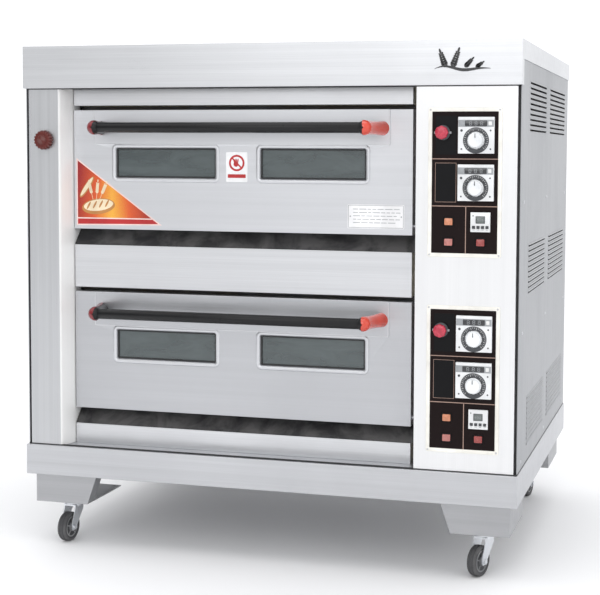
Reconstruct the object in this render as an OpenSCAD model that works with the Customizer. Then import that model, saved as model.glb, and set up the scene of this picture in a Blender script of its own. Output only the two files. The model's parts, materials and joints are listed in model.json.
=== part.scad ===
// Two-deck bakery oven on casters.
// +Z is up, +X is the user's right and -Y is the front.
// The origin is on the floor, under the middle of the oven.

/* [Overall size] */
// Width of the top cap and of the base
body_w = 1270; // [1220:5:1355]
// Depth of the top cap and of the base
body_d = 990; // [940:5:1040]
// Height from the floor to the top of the cap
body_h = 1280; // [1275:1:1300]

/* [Cabinet] */
// Height of the front fascia of the top cap
cap_h = 106; // [90:1:110]
// Height of the cap's lip along the sides and the back
cap_lip = 46; // [30:1:60]
// Height of the base tray
base_h = 77; // [70:1:80]
// Height of the folded legs
leg_h = 75; // [70:1:78]
// Width of the flat front face of the left column
column_w = 82; // [75:1:90]
// Width of the control column
control_w = 240; // [232:1:250]
// Distance from the front of the cap back to the doors
door_setback = 58; // [50:1:64]
// Thickness of the cabinet sheet
sheet = 2; // [1.5:0.5:3]

/* [Doors] */
// Height of each door
door_h = 303; // [295:1:306]
// Thickness of each door
door_t = 38; // [34:1:42]
// Height from one door's bottom edge to the next
deck_pitch = 464; // [460:1:470]

/* [Baking chambers] */
// Inside width, for two 400 mm trays side by side
chamber_w = 838; // [820:2:850]
// Inside depth, for a 600 mm tray
chamber_d = 664; // [620:2:680]
// Inside height
chamber_h = 230; // [200:5:240]

/* [Casters] */
// Overall height of a caster, floor to leg
caster_h = 110; // [108:1:116]
// Wheel diameter
wheel_d = 75; // [70:1:76]
// Distance from the swivel axis to the axle
caster_trail = 30; // [25:1:34]

/* [Hidden] */
$fn = 48;
eps = 1;

// Colours
steel = "#c8cccf";
dark_steel = "#3a3d40";
black_plastic = "#17181a";
white_plastic = "#f0f1f2";
red_plastic = "#d8301f";

// Outer limits
half_w = body_w / 2;
front_y = -body_d / 2;
back_y = body_d / 2;
base_z = caster_h + leg_h;
deck_z = base_z + base_h;
cap_z = body_h - cap_h;
side_inset = 2.5;
back_inset = 8;
face_setback = 9;
face_y = front_y + face_setback;
panel_x = half_w - side_inset;
panel_back_y = back_y - back_inset;
panel_top_z = body_h - sheet - 2;

// Columns, each a groove's width from its side panel, and the door zone between them
side_groove = 6.5;
column_left = side_groove + sheet - panel_x;
column_bevel = 6;
return_splay = 11;
return_d = 88;
zone_left = column_left + column_w + column_bevel + return_splay;
control_right = -column_left;
zone_right = control_right - control_w;
door_gap_left = 3;
door_gap_right = 18;
door_left = zone_left + door_gap_left;
door_right = zone_right - door_gap_right;
door_w = door_right - door_left;
door_cx = (door_left + door_right) / 2;

// Door planes and the two door bottoms
door_y = front_y + door_setback;
door_back_y = door_y + door_t;
door_top_gap = 11;
top_rail_h = 42;
upper_door_z = cap_z - top_rail_h - door_top_gap - door_h;
lower_door_z = upper_door_z - deck_pitch;
door_zs = [upper_door_z, lower_door_z];
recess_h = 39;
hinge_rise = 20;
hinge_y = door_y + door_t / 2;
hinge_r = 6;
run_gap = 0.05;
boss_r = 12;
boss_l = 8;
pin_l = 40;

// Door windows, measured from the door's lower corners
window_w = 277;
window_h = 83;
window_r = 12;
window_side = 112;
window_z = 128;
window_lefts = [door_left + window_side, door_right - window_side - window_w];

// Door handle
handle_z = 257;
handle_r = 13;
handle_out = 88;
handle_y = door_y - handle_out;
handle_half = 338;
bracket_r = 18;
bracket_foot = 368;
plate_half = 387;
plate_z = 217;
plate_h = 86;
plate_t = 2;

// Baking chambers
chamber_front_y = door_back_y + 13;
chamber_left = door_cx - chamber_w / 2;
chamber_right = door_cx + chamber_w / 2;
chamber_back_y = chamber_front_y + chamber_d;
chamber_rise = 26;
flange_rise = 3;
hearth_t = 6;
hearth_rise = 24;
element_r = 4;
element_first = 92;
element_step = 184;
element_bend_r = 37;
element_gap = 0.3;
element_count = 3;
top_element_drop = 12;
bottom_element_rise = 10;

// Vent duct in the left column, with its damper
vent_x = -half_w + 56;
vent_y = door_back_y + 36;
vent_z = upper_door_z + 226;
duct_r = 30;
duct_t = 2;
vent_shaft_r = 4;
branch_r = 12;
branch_rise = 190;

// Control panels: plate, rows and devices, all measured from the plate's top left corner
plate_w = 172;
control_plate_h = 347;
control_plate_t = 3;
plate_left = zone_right + 31.5;
plate_border = 8;
row_h = 110.3;
control_face_y = face_y - control_plate_t;
controller_x = plate_left + 113;
controller_w = 85;
bezel_t = 8;
knob_drop = 12;
knob_shaft_r = 3;
controller_rows = [0, 1];
stop_x = plate_left + 33.5;
stop_rise = 6;
stop_stem_r = 8;
switch_x = plate_left + 49;
switch_pitch = 48;
timer_x = plate_left + 125;
timer_drop = 36.5;
timer_w = 46;
timer_t = 6;
key_w = 6.4;
key_h = 6;
key_t = 1.6;
key_travel_gap = 1.2;
key_pitch = 10.5;
key_drop = 12;
switch_w = 19;
switch_h = 16;
control_tops = [upper_door_z + door_h, lower_door_z + door_h];

// Casters: side of X, side of Y and the angle at which the fork rests
caster_in_x = 90;
caster_in_y = 90;
casters = [[-1, -1, -5], [1, -1, -20], [-1, 1, 12], [1, 1, -8]];
wheel_w = 25;
hub_w = 27;
axle_r = 4;
fork_gap = 29;
fork_t = 2.5;
crown_z = caster_h - 21;
crown_t = 4.5;
kingpin_r = 5;

// Legs: a folded corner whose front plate has a sloping end
leg_inset = 18;
leg_front_w = 170;
leg_side_w = 205;
leg_taper = 26;
leg_sheet = 3;
leg_flange = 38;
bolt_dx = 70;
bolt_dy = 46;
bolt_r = 4;

// Supply terminal box on the back
terminal_x = 430;
terminal_z = 420;
gland_r = 16;
gland_bore_r = 11;

// Louvres in the right side panel
louvre_rows = 10;
louvre_pitch = 12.6;
louvre_h = 5;
louvre_ys = [front_y + 158, front_y + 552];
louvre_ls = [314, 352];
louvre_zs = [cap_z - 104, cap_z - 497, cap_z - 870];

// ---------- shared shapes ----------

// A box given by its limits along each axis
module block(x, y, z) {
    translate([x[0], y[0], z[0]]) cube([x[1] - x[0], y[1] - y[0], z[1] - z[0]]);
}

// A round bar along X, Y or Z, from a centre point of one end
module bar_x(p, r, l) {
    translate(p) rotate([0, 90, 0]) cylinder(r = r, h = l);
}

module bar_y(p, r, l) {
    translate(p) rotate([-90, 0, 0]) cylinder(r = r, h = l);
}

// An upright rounded plate in the XZ plane, from its lower left front corner
module rounded_plate(p, w, h, t, r) {
    translate(p) {
        block([r, w - r], [0, t], [0, h]);
        block([0, w], [0, t], [r, h - r]);
        for (x = [r, w - r], z = [r, h - r]) bar_y([x, 0, z], r, t);
    }
}

// ---------- cabinet ----------

module base_frame() {
    lip = 30;
    beam = 40;
    x = [-half_w, half_w];
    y = [front_y, back_y];
    inner_x = [x[0] + sheet, x[1] - sheet];
    inner_y = [y[0] + sheet, y[1] - sheet];
    color(steel) {
        difference() {
            block(x, y, [base_z, deck_z]);
            block(inner_x, inner_y, [base_z + sheet, deck_z - sheet]);
            block([x[0] + lip, x[1] - lip], [y[0] + lip, y[1] - lip], [base_z - eps, base_z + sheet + eps]);
        }
        for (side = [-1, 1]) {
            cy = side * (back_y - leg_side_w - leg_inset);
            block(inner_x, [cy - beam / 2, cy + beam / 2], [base_z + sheet, base_z + beam]);
        }
    }
}

module top_cap() {
    corner = 25;
    hem = 20;
    color(steel) difference() {
        union() {
            block([-half_w, half_w], [front_y, back_y], [body_h - sheet, body_h]);
            block([-half_w, half_w], [front_y, front_y + sheet], [cap_z, body_h]);
            block([sheet - panel_x, panel_x - sheet], [front_y, front_y + hem], [cap_z, cap_z + sheet]);
            block([-half_w, half_w], [back_y - sheet, back_y], [body_h - cap_lip, body_h]);
            for (x = [-half_w, half_w - sheet]) {
                block([x, x + sheet], [front_y, back_y], [body_h - cap_lip, body_h]);
                block([x, x + sheet], [front_y, front_y + corner], [cap_z, body_h]);
            }
        }
        translate([vent_x, vent_y, body_h - sheet - eps]) cylinder(r = duct_r + 0.3, h = sheet + 2 * eps);
    }
}

// Plan of the left column: flat face, bevelled inner corner, then a return that slopes in to the
// doors and runs straight back past them
module column_plan(outer_return) {
    t = sheet;
    w = column_w;
    corner_x = w + column_bevel;
    inner_x = corner_x + return_splay;
    door_d = door_y - face_y - 3;
    polygon([
        [0, 0], [w, 0], [corner_x, column_bevel], [inner_x, door_d], [inner_x, return_d],
        [inner_x - t, return_d], [inner_x - t, door_d + t * 0.2], [corner_x - t, column_bevel + t * 0.6],
        [w - t * 0.4, t], [t, t], [t, outer_return], [0, outer_return]
    ]);
}

// Bushes for both door pins on the inside of a column's return
module hinge_bosses(x, direction) {
    for (z = door_zs) {
        bar_x([direction > 0 ? x : x - boss_l, hinge_y, z + hinge_rise], boss_r, boss_l);
    }
}

module hinge_bores(x) {
    for (z = door_zs) bar_x([x - pin_l, hinge_y, z + hinge_rise], hinge_r + run_gap, 2 * pin_l);
}

module left_column() {
    outer_return = 30;
    boss = 10;
    color(steel) difference() {
        union() {
            translate([column_left, face_y, deck_z]) linear_extrude(cap_z - deck_z)
                column_plan(outer_return);
            hinge_bosses(zone_left - sheet, -1);
            bar_y([vent_x, face_y + sheet, vent_z], 2 * vent_shaft_r, boss);
        }
        hinge_bores(zone_left);
        bar_y([vent_x, face_y - eps, vent_z], vent_shaft_r + run_gap, 2 * boss);
    }
}

module control_column() {
    margin = 10;
    edge_return = 14;
    color(steel) difference() {
        union() {
            block([zone_right, control_right], [face_y, face_y + sheet], [deck_z, cap_z]);
            block([zone_right, zone_right + sheet], [face_y, face_y + return_d], [deck_z, cap_z]);
            block([control_right - sheet, control_right], [face_y, face_y + edge_return], [deck_z, cap_z]);
            hinge_bosses(zone_right + sheet, 1);
        }
        hinge_bores(zone_right);
        for (top = control_tops) {
            block([plate_left + margin, plate_left + plate_w - margin], [face_y - eps, face_y + sheet + eps],
                [top - control_plate_h + margin, top - margin]);
        }
    }
}

// A flat side sheet
module side_sheet() {
    block([panel_x - sheet, panel_x], [face_y + 4, panel_back_y], [deck_z, panel_top_z]);
}

module left_side_panel() {
    color(steel) mirror([1, 0, 0]) side_sheet();
}

module right_side_panel() {
    color(steel) difference() {
        side_sheet();
        for (column = [0, 1], low = louvre_zs, row = [0 : louvre_rows - 1]) {
            y = louvre_ys[column];
            z = low + row * louvre_pitch;
            block([panel_x - sheet - eps, panel_x + eps], [y, y + louvre_ls[column]], [z, z + louvre_h]);
        }
    }
}

module back_panel() {
    slot_l = 150;
    slot_x = 420;
    entry_r = 20;
    color(steel) difference() {
        block([sheet - panel_x, panel_x - sheet], [panel_back_y - sheet, panel_back_y],
            [deck_z, panel_top_z]);
        for (x = [-slot_x, slot_x], row = [0 : louvre_rows - 1]) {
            z = louvre_zs[0] + row * louvre_pitch;
            block([x - slot_l / 2, x + slot_l / 2], [panel_back_y - sheet - eps, panel_back_y + eps],
                [z, z + louvre_h]);
        }
        bar_y([terminal_x, panel_back_y - sheet - eps, terminal_z], entry_r, sheet + 2 * eps);
    }
}

// Square tubes in the rear corners, which the side and back sheets are screwed to
module rear_posts() {
    post = 20;
    wall = 1.5;
    y = [panel_back_y - sheet - post, panel_back_y - sheet];
    for (side = [0, 1]) mirror([side, 0, 0]) difference() {
        block([panel_x - sheet - post, panel_x - sheet], y, [deck_z, panel_top_z]);
        block([panel_x - sheet - post + wall, panel_x - sheet - wall], [y[0] + wall, y[1] - wall],
            [deck_z - eps, panel_top_z + eps]);
    }
}

// One rail between the columns: a channel that is open at the back
module rail(z) {
    rail_d = door_t - 4;
    difference() {
        block([door_left, door_right], [door_y, door_y + rail_d], z);
        block([door_left + sheet, door_right - sheet], [door_y + sheet, door_y + rail_d + eps],
            [z[0] + sheet, z[1] - sheet]);
    }
}

module rails_and_posts() {
    mid_bottom_z = lower_door_z + door_h + door_top_gap;
    color(steel) {
        rail([cap_z - top_rail_h, cap_z]);
        rail([mid_bottom_z, upper_door_z - recess_h - sheet]);
        rail([deck_z, lower_door_z - recess_h - sheet]);
        rear_posts();
    }
}

// Sloping gutter under each door, leaving room for the door's lower edge as it swings
module door_sills() {
    lip_y = door_y + 3;
    top_y = door_back_y + 3;
    side_gap = 2;
    color(dark_steel) for (z = door_zs) {
        low_z = z - recess_h;
        translate([zone_left + side_gap, 0, 0]) rotate([90, 0, 90])
            linear_extrude(zone_right - zone_left - 2 * side_gap) polygon([
                [lip_y, low_z], [top_y, z], [top_y + sheet, z], [top_y + sheet, z - 3 * sheet],
                [lip_y + 2 * sheet, low_z - sheet], [lip_y, low_z - sheet]
            ]);
    }
}

// ---------- baking chambers ----------

// Y of the front leg of each hairpin element
function element_y(i) = chamber_front_y + element_first + i * element_step;

module chamber(door_z) {
    t = sheet;
    z0 = door_z + chamber_rise;
    z1 = z0 + chamber_h;
    ledge = 14;
    ledge_t = 3;
    y = [chamber_front_y, chamber_back_y];
    element_zs = [z0 + bottom_element_rise, z1 - top_element_drop];
    color(dark_steel) difference() {
        union() {
            block([chamber_left - t, chamber_right + t], [y[0], y[1] + t], [z0 - t, z1 + t]);
            block([zone_left + 2, zone_right - 2], [y[0] - t, y[0]],
                [door_z + flange_rise, door_z + door_h + door_top_gap - 1]);
        }
        difference() {
            block([chamber_left, chamber_right], [y[0] - t - eps, y[1]], [z0, z1]);
            for (x = [chamber_left, chamber_right - ledge]) {
                block([x, x + ledge], y, [z0 + hearth_rise - ledge_t, z0 + hearth_rise]);
            }
        }
        for (i = [0 : element_count - 1], side = [0, 1], z = element_zs) {
            leg_y = element_y(i) + side * 2 * element_bend_r;
            bar_x([chamber_right - eps, leg_y, z], element_r + element_gap, t + 2 * eps);
        }
        bar_x([chamber_left - t - eps, vent_y, door_z + branch_rise], branch_r, t + 2 * eps);
    }
}

module hearth_plates() {
    gap = 4;
    color("#6d6a66") for (z = door_zs) {
        block([chamber_left + gap, chamber_right - gap], [chamber_front_y + gap, chamber_back_y - gap],
            [z + chamber_rise + hearth_rise, z + chamber_rise + hearth_rise + hearth_t]);
    }
}

// One hairpin element: two straight legs and a round bend at the left
module hairpin(y, z) {
    bend_x = chamber_left + 60;
    tail_x = chamber_right + 12;
    for (side = [0, 1]) bar_x([bend_x, y + side * 2 * element_bend_r, z], element_r, tail_x - bend_x);
    translate([bend_x, y + element_bend_r, z]) rotate([0, 0, 90]) rotate_extrude(angle = 180)
        translate([element_bend_r, 0]) circle(r = element_r);
}

module heating_elements() {
    color("#6a5148") for (door_z = door_zs, i = [0 : element_count - 1]) {
        hairpin(element_y(i), door_z + chamber_rise + bottom_element_rise);
        hairpin(element_y(i), door_z + chamber_rise + chamber_h - top_element_drop);
    }
}

// Mineral wool slabs over, between, under, behind and beside the chambers
module insulation() {
    air = 3;
    wool = 40;
    x = [chamber_left - air, chamber_right + air];
    y = [chamber_front_y + air, chamber_back_y + air];
    floors = [upper_door_z + chamber_rise - air, lower_door_z + chamber_rise - air];
    roofs = [upper_door_z + chamber_rise + chamber_h + air, lower_door_z + chamber_rise + chamber_h + air];
    color("#d9cfa6") {
        block(x, y, [roofs[0], cap_z + wool]);
        block(x, y, [roofs[1], floors[0]]);
        block(x, y, [deck_z + air, floors[1]]);
        block(x, [y[1] + air, y[1] + air + wool], [deck_z + air, cap_z + wool]);
        difference() {
            block([x[0] - air - wool / 2, x[0] - air], y, [deck_z + air, cap_z + wool]);
            for (z = door_zs) bar_x([x[0] - wool, vent_y, z + branch_rise], branch_r + duct_t + 1, 2 * wool);
        }
        block([x[1] + 5 * air, x[1] + 5 * air + wool], y, [deck_z + air, cap_z + wool]);
    }
}

// ---------- vent ----------

module vent_duct() {
    color(steel) {
        duct();
        for (z = door_zs) vent_branch(z + branch_rise);
    }
}

module duct() {
    socket_l = 40;
    bottom_z = lower_door_z + 150;
    difference() {
        translate([vent_x, vent_y, bottom_z]) cylinder(r = duct_r, h = body_h - bottom_z);
        translate([vent_x, vent_y, bottom_z + duct_t]) cylinder(r = duct_r - duct_t, h = body_h - bottom_z);
        translate([vent_x, vent_y, body_h - socket_l]) cylinder(r = duct_r - duct_t / 2, h = socket_l + eps);
        for (z = door_zs) bar_x([vent_x, vent_y, z + branch_rise], branch_r, duct_r + eps);
        bar_y([vent_x, vent_y - duct_r - eps, vent_z], vent_shaft_r + run_gap, 2 * duct_r + 2 * eps);
    }
}

// A short tube from a chamber's wall to the duct, which it meets with a hair's gap
module vent_branch(z) {
    difference() {
        bar_x([vent_x, vent_y, z], branch_r + duct_t, chamber_left - sheet - vent_x);
        bar_x([vent_x, vent_y, z], branch_r, chamber_left - vent_x);
        translate([vent_x, vent_y, z - branch_rise]) cylinder(r = duct_r + 0.2, h = 2 * branch_rise);
    }
}

module vent_damper() {
    disc_r = duct_r - duct_t - 0.8;
    start_y = face_y - 12;
    color(steel) {
        bar_y([vent_x, start_y, vent_z], vent_shaft_r, vent_y + duct_r + 4 - start_y);
        translate([vent_x, vent_y, vent_z - 1]) cylinder(r = disc_r, h = 2);
    }
}

module vent_knob() {
    knob_r = 22.5;
    knob_t = 16;
    ribs = 16;
    rib_r = 2.6;
    rib_circle_r = knob_r - 1;
    knob_y = face_y - 2 - knob_t;
    color("#a8442c") difference() {
        union() {
            bar_y([vent_x, knob_y, vent_z], knob_r, knob_t);
            bar_y([vent_x, knob_y - 3, vent_z], knob_r - 7, 4);
            for (i = [0 : ribs - 1]) {
                a = i * 360 / ribs;
                x = vent_x + rib_circle_r * cos(a);
                z = vent_z + rib_circle_r * sin(a);
                bar_y([x, knob_y + 2, z], rib_r, knob_t - 2);
            }
        }
        bar_y([vent_x, face_y - 12, vent_z], vent_shaft_r, 20);
    }
}

// ---------- back and springs ----------

module terminal_box() {
    box_w = 150;
    box_h = 110;
    box_d = 30;
    gland_l = 16;
    y0 = panel_back_y + 0.2;
    color(dark_steel) difference() {
        union() {
            block([terminal_x - box_w / 2, terminal_x + box_w / 2], [y0, y0 + box_d],
                [terminal_z - box_h / 2, terminal_z + box_h / 2]);
            bar_y([terminal_x, y0 + box_d, terminal_z], gland_r, gland_l);
        }
        block([terminal_x - box_w / 2 + sheet, terminal_x + box_w / 2 - sheet],
            [y0 - eps, y0 + box_d - sheet],
            [terminal_z - box_h / 2 + sheet, terminal_z + box_h / 2 - sheet]);
        bar_y([terminal_x, y0, terminal_z], gland_bore_r, box_d + gland_l + eps);
    }
}

// Closed coil round each door pin, with a tail that hooks on the column
module door_spring(x, z) {
    wire_r = 1.5;
    coil_r = hinge_r + 5;
    turns = 7;
    pitch = 2 * wire_r;
    tail = 12;
    bulge = [for (i = [0 : turns - 1], a = [-60, 0, 60])
        [wire_r * cos(a), pitch * i + wire_r * sin(a)]];
    count = len(bulge);
    translate([x, hinge_y, z]) {
        rotate([0, 90, 0]) rotate_extrude() polygon(concat(
            [for (p = bulge) [coil_r + p[0], p[1]]],
            [for (i = [1 : count]) [coil_r - bulge[count - i][0], bulge[count - i][1]]]
        ));
        translate([0, coil_r + 1, 0]) cylinder(r = wire_r, h = tail);
    }
}

module door_springs() {
    coil_l = 20;
    color("#8d9196") for (z = door_zs) {
        door_spring(zone_left - sheet - boss_l - coil_l, z + hinge_rise);
        door_spring(zone_right + sheet + boss_l + 4, z + hinge_rise);
    }
}

// ---------- doors ----------

// The two window openings, cut through a slice of the door
module window_cuts(door_z, y, l) {
    for (x = window_lefts) rounded_plate([x, y, door_z + window_z], window_w, window_h, l, window_r);
}

module door_shell(door_z) {
    pin_z = door_z + hinge_rise;
    right_pin_l = pin_l + door_gap_right - door_gap_left;
    color(steel) {
        difference() {
            union() {
                block([door_left, door_right], [door_y, door_back_y], [door_z, door_z + door_h]);
                block([door_cx - plate_half, door_cx + plate_half], [door_y - plate_t, door_y],
                    [door_z + plate_z, door_z + plate_z + plate_h]);
            }
            block([door_left + sheet, door_right - sheet], [door_y + sheet, door_back_y + eps],
                [door_z + sheet, door_z + door_h - sheet]);
            window_cuts(door_z, door_y - plate_t - eps, plate_t + sheet + 2 * eps);
        }
        bar_x([door_left - pin_l, hinge_y, pin_z], hinge_r, pin_l + eps);
        bar_x([door_right - eps, hinge_y, pin_z], hinge_r, right_pin_l + eps);
    }
}

module door_liner(door_z) {
    gap = 2.5;
    pan = 12;
    wall = 1.5;
    x = [door_left + gap, door_right - gap];
    z = [door_z + gap, door_z + door_h - gap];
    color(dark_steel) difference() {
        block(x, [door_back_y - pan, door_back_y], z);
        block([x[0] + wall, x[1] - wall], [door_back_y - pan - eps, door_back_y - wall],
            [z[0] + wall, z[1] - wall]);
        window_cuts(door_z, door_back_y - wall - eps, wall + 2 * eps);
    }
}

module door_glass(door_z) {
    lap = 7;
    outer_t = 4;
    inner_t = 3;
    outer_y = door_y + 2 * sheet + 4;
    inner_y = door_back_y - 7;
    z = [door_z + window_z - lap, door_z + window_z + window_h + lap];
    color("#26312f", 0.6) for (left = window_lefts) {
        x = [left - lap, left + window_w + lap];
        block(x, [outer_y, outer_y + outer_t], z);
        block(x, [inner_y, inner_y + inner_t], z);
    }
}

// The right bracket, with X from the handle's middle: it leans, has a round front end that takes
// the bar's end, and stands on the door's handle plate
module handle_bracket(z) {
    lean = 20;
    foot_y = door_y - plate_t;
    reach = foot_y - handle_y;
    foot = 5;
    foot_r = bracket_r + 1;
    difference() {
        union() {
            translate([bracket_foot - lean, handle_y, z]) {
                sphere(r = bracket_r);
                rotate([-90, 0, -atan(lean / reach)]) cylinder(r = bracket_r - 2, h = reach + lean);
            }
            bar_y([bracket_foot, foot_y - foot, z], foot_r, foot);
        }
        block([bracket_foot - 2 * foot_r, bracket_foot + 2 * foot_r], [foot_y, foot_y + 2 * lean],
            [z - 2 * foot_r, z + 2 * foot_r]);
        bar_x([0, handle_y, z], handle_r + run_gap, handle_half + run_gap);
    }
}

module door_handle(door_z) {
    z = door_z + handle_z;
    color(black_plastic) bar_x([door_cx - handle_half, handle_y, z], handle_r, 2 * handle_half);
    color(red_plastic) for (side = [0, 1])
        translate([door_cx, 0, 0]) mirror([side, 0, 0]) handle_bracket(z);
}

// ---------- control panels ----------

// A rectangular hole through a control plate, round a point given by X and Z
module panel_cut(p, w, h) {
    block([p[0] - w / 2, p[0] + w / 2], [control_face_y - eps, face_y + eps], [p[1] - h / 2, p[1] + h / 2]);
}

module control_plates() {
    cut_w = controller_w - 6;
    timer_cut = timer_w - 5;
    stem_r = stop_stem_r + run_gap;
    slack = 0.8;
    color(black_plastic) for (top = control_tops) difference() {
        block([plate_left, plate_left + plate_w], [control_face_y, face_y], [top - control_plate_h, top]);
        for (row = controller_rows) panel_cut([controller_x, row_z(top, row)], cut_w, cut_w);
        panel_cut([timer_x, timer_z(top)], timer_cut, timer_cut);
        for (p = switch_places(top)) panel_cut(p, switch_w + slack, switch_h + slack);
        bar_y([stop_x, control_face_y - eps, stop_z(top)], stem_r, control_plate_t + 2 * eps);
    }
}

// Heights of a row's centre, of the stop button and of the timer, and the places of the square switches
function row_z(top, row) = top - plate_border - (row + 0.5) * row_h;
function stop_z(top) = row_z(top, 0) + stop_rise;
function timer_z(top) = top - plate_border - 2 * row_h - timer_drop;
function switch_places(top) = [
    [switch_x, timer_z(top)],
    [switch_x, timer_z(top) - switch_pitch],
    [timer_x, timer_z(top) - switch_pitch]
];

module temperature_controllers() {
    rim = controller_w / 2;
    neck = rim - 5;
    depth = 55;
    bore_l = 30;
    color(white_plastic) for (top = control_tops, row = controller_rows) difference() {
        device(controller_x, row_z(top, row), rim, neck, bezel_t, depth);
        bar_y([controller_x, control_face_y - bezel_t - eps, row_z(top, row) - knob_drop],
            knob_shaft_r + run_gap, bore_l);
    }
}

// A square device: a bezel in front of the control plate and a narrower case behind it
module device(x, z, rim, neck, bezel, depth) {
    seat = 0.1;
    block([x - rim, x + rim], [control_face_y - bezel, control_face_y - seat], [z - rim, z + rim]);
    block([x - neck, x + neck], [control_face_y - 2 * seat, control_face_y + depth], [z - neck, z + neck]);
}

module timers() {
    rim = timer_w / 2;
    neck = rim - 3.5;
    depth = 45;
    slack = 0.3;
    color(white_plastic) for (top = control_tops) difference() {
        device(timer_x, timer_z(top), rim, neck, timer_t, depth);
        for (i = [0 : 3]) key_block(top, i, slack, [control_face_y - timer_t - eps, control_face_y]);
    }
}

// The outline of one timer key, grown by a margin, between two Y limits
module key_block(top, i, grow, y) {
    x = timer_x + (i - 1.5) * key_pitch;
    z = timer_z(top) - key_drop;
    half_key_w = key_w / 2 + grow;
    half_key_h = key_h / 2 + grow;
    block([x - half_key_w, x + half_key_w], y, [z - half_key_h, z + half_key_h]);
}

module timer_key(top, i) {
    color("#cfd2d4")
        key_block(top, i, 0, [control_face_y - timer_t - key_t, control_face_y - key_travel_gap]);
}

module heat_knob(top, row) {
    disc_r = 19;
    disc_t = 14;
    shaft_l = 22;
    rib_w = 4;
    rib_t = 3;
    z = row_z(top, row) - knob_drop;
    y = control_face_y - bezel_t - 0.4;
    color(white_plastic) {
        bar_y([controller_x, y - disc_t, z], disc_r, disc_t);
        bar_y([controller_x, y - eps, z], knob_shaft_r, shaft_l);
        block([controller_x - rib_w / 2, controller_x + rib_w / 2], [y - disc_t - rib_t, y - disc_t + eps],
            [z - disc_r + 2, z + disc_r - 2]);
    }
}

// Mushroom button: a wide cap with a smaller crown, on a stem through the plate
module stop_button(top) {
    cap_r = 16;
    cap_y = control_face_y - 22;
    cap_t = 10;
    crown_r = 13;
    crown_t = 2;
    stem_l = 40;
    z = stop_z(top);
    color(red_plastic) {
        bar_y([stop_x, cap_y, z], cap_r, cap_t);
        bar_y([stop_x, cap_y - crown_t, z], crown_r, crown_t + eps);
        bar_y([stop_x, cap_y + cap_t - eps, z], stop_stem_r, stem_l);
    }
}

module square_switch(top, i) {
    proud = 5;
    depth = 20;
    p = switch_places(top)[i];
    color(red_plastic)
        block([p[0] - switch_w / 2, p[0] + switch_w / 2], [control_face_y - proud, control_face_y + depth],
            [p[1] - switch_h / 2, p[1] + switch_h / 2]);
}

// ---------- legs and casters ----------

// A leg for the corner where X and Y are smallest, with its corner at the origin and its top at zero
module leg() {
    w = leg_front_w;
    d = leg_side_w;
    s = leg_sheet;
    foot_w = w - leg_taper;
    translate([0, s, 0]) rotate([90, 0, 0]) linear_extrude(s)
        polygon([[0, 0], [w, 0], [foot_w, -leg_h], [0, -leg_h]]);
    translate([0, leg_flange, 0]) rotate([90, 0, 0]) linear_extrude(leg_flange)
        polygon([[w - s, 0], [w, 0], [foot_w, -leg_h], [foot_w - s, -leg_h]]);
    block([0, s], [0, d], [-leg_h, 0]);
    block([0, leg_flange], [d - s, d], [-leg_h, 0]);
    difference() {
        translate([0, 0, -leg_h]) cube([foot_w, d, s]);
        at_bolts() translate([caster_in_x - leg_inset, caster_in_y - leg_inset, -leg_h - eps])
            cylinder(r = bolt_r + 0.5, h = s + 2 * eps);
    }
}

module at_bolts() {
    for (x = [-1, 1], y = [-1, 1]) translate([x * bolt_dx / 2, y * bolt_dy / 2, 0]) children();
}

module legs() {
    color(steel) for (c = casters) {
        mirror([c[0] > 0 ? 1 : 0, 0, 0]) mirror([0, c[1] > 0 ? 1 : 0, 0])
            translate([-half_w + leg_inset, front_y + leg_inset, base_z]) leg();
    }
}

// Moves to a caster's swivel axis on the floor
module at_caster(c) {
    translate([c[0] * (half_w - caster_in_x), c[1] * (back_y - caster_in_y), 0]) children();
}

module caster_plates() {
    plate_t = 4;
    race_r = 25;
    nut_h = 7;
    gap = 0.5;
    head_t = 4;
    race_z = crown_z + crown_t + gap;
    color("#b9bcc0") for (c = casters) at_caster(c) {
        translate([-48, -34, caster_h - plate_t]) cube([96, 68, plate_t - 0.2]);
        translate([0, 0, race_z]) cylinder(r = race_r, h = caster_h - plate_t - race_z + eps);
        translate([0, 0, crown_z - gap]) cylinder(r = kingpin_r, h = race_z - crown_z + gap + eps);
        translate([0, 0, crown_z - gap - head_t]) cylinder(r = kingpin_r + 3.5, h = head_t);
        at_bolts() translate([0, 0, caster_h - plate_t])
            cylinder(r = bolt_r, h = plate_t + leg_sheet + nut_h);
    }
}

module caster_fork(i) {
    c = casters[i];
    inner = fork_gap / 2;
    axle_z = wheel_d / 2;
    cheek = inner + fork_t;
    nut_l = 5;
    color("#b9bcc0") at_caster(c) rotate([0, 0, c[2]]) {
        difference() {
            union() {
                translate([0, 0, crown_z]) cylinder(r = 23, h = crown_t);
                block([-cheek, cheek], [-24, 16], [crown_z, crown_z + crown_t]);
            }
            translate([0, 0, crown_z - eps]) cylinder(r = kingpin_r + run_gap, h = crown_t + 2 * eps);
        }
        for (side = [-1, 1]) {
            translate([side > 0 ? inner : -cheek, 0, 0]) rotate([90, 0, 90]) linear_extrude(fork_t)
                polygon([
                    [16, crown_z + crown_t], [16, crown_z - 12], [10 - caster_trail, axle_z - 4],
                    [5 - caster_trail, axle_z - 9], [-5 - caster_trail, axle_z - 9],
                    [-10 - caster_trail, axle_z - 4], [-10 - caster_trail, axle_z + 8],
                    [-24, crown_z - 6], [-24, crown_z + crown_t]
                ]);
            bar_x([side > 0 ? cheek : -cheek - nut_l, -caster_trail, axle_z], axle_r + 3, nut_l, $fn = 6);
        }
        bar_x([-cheek - nut_l, -caster_trail, axle_z], axle_r, 2 * (cheek + nut_l));
    }
}

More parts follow.
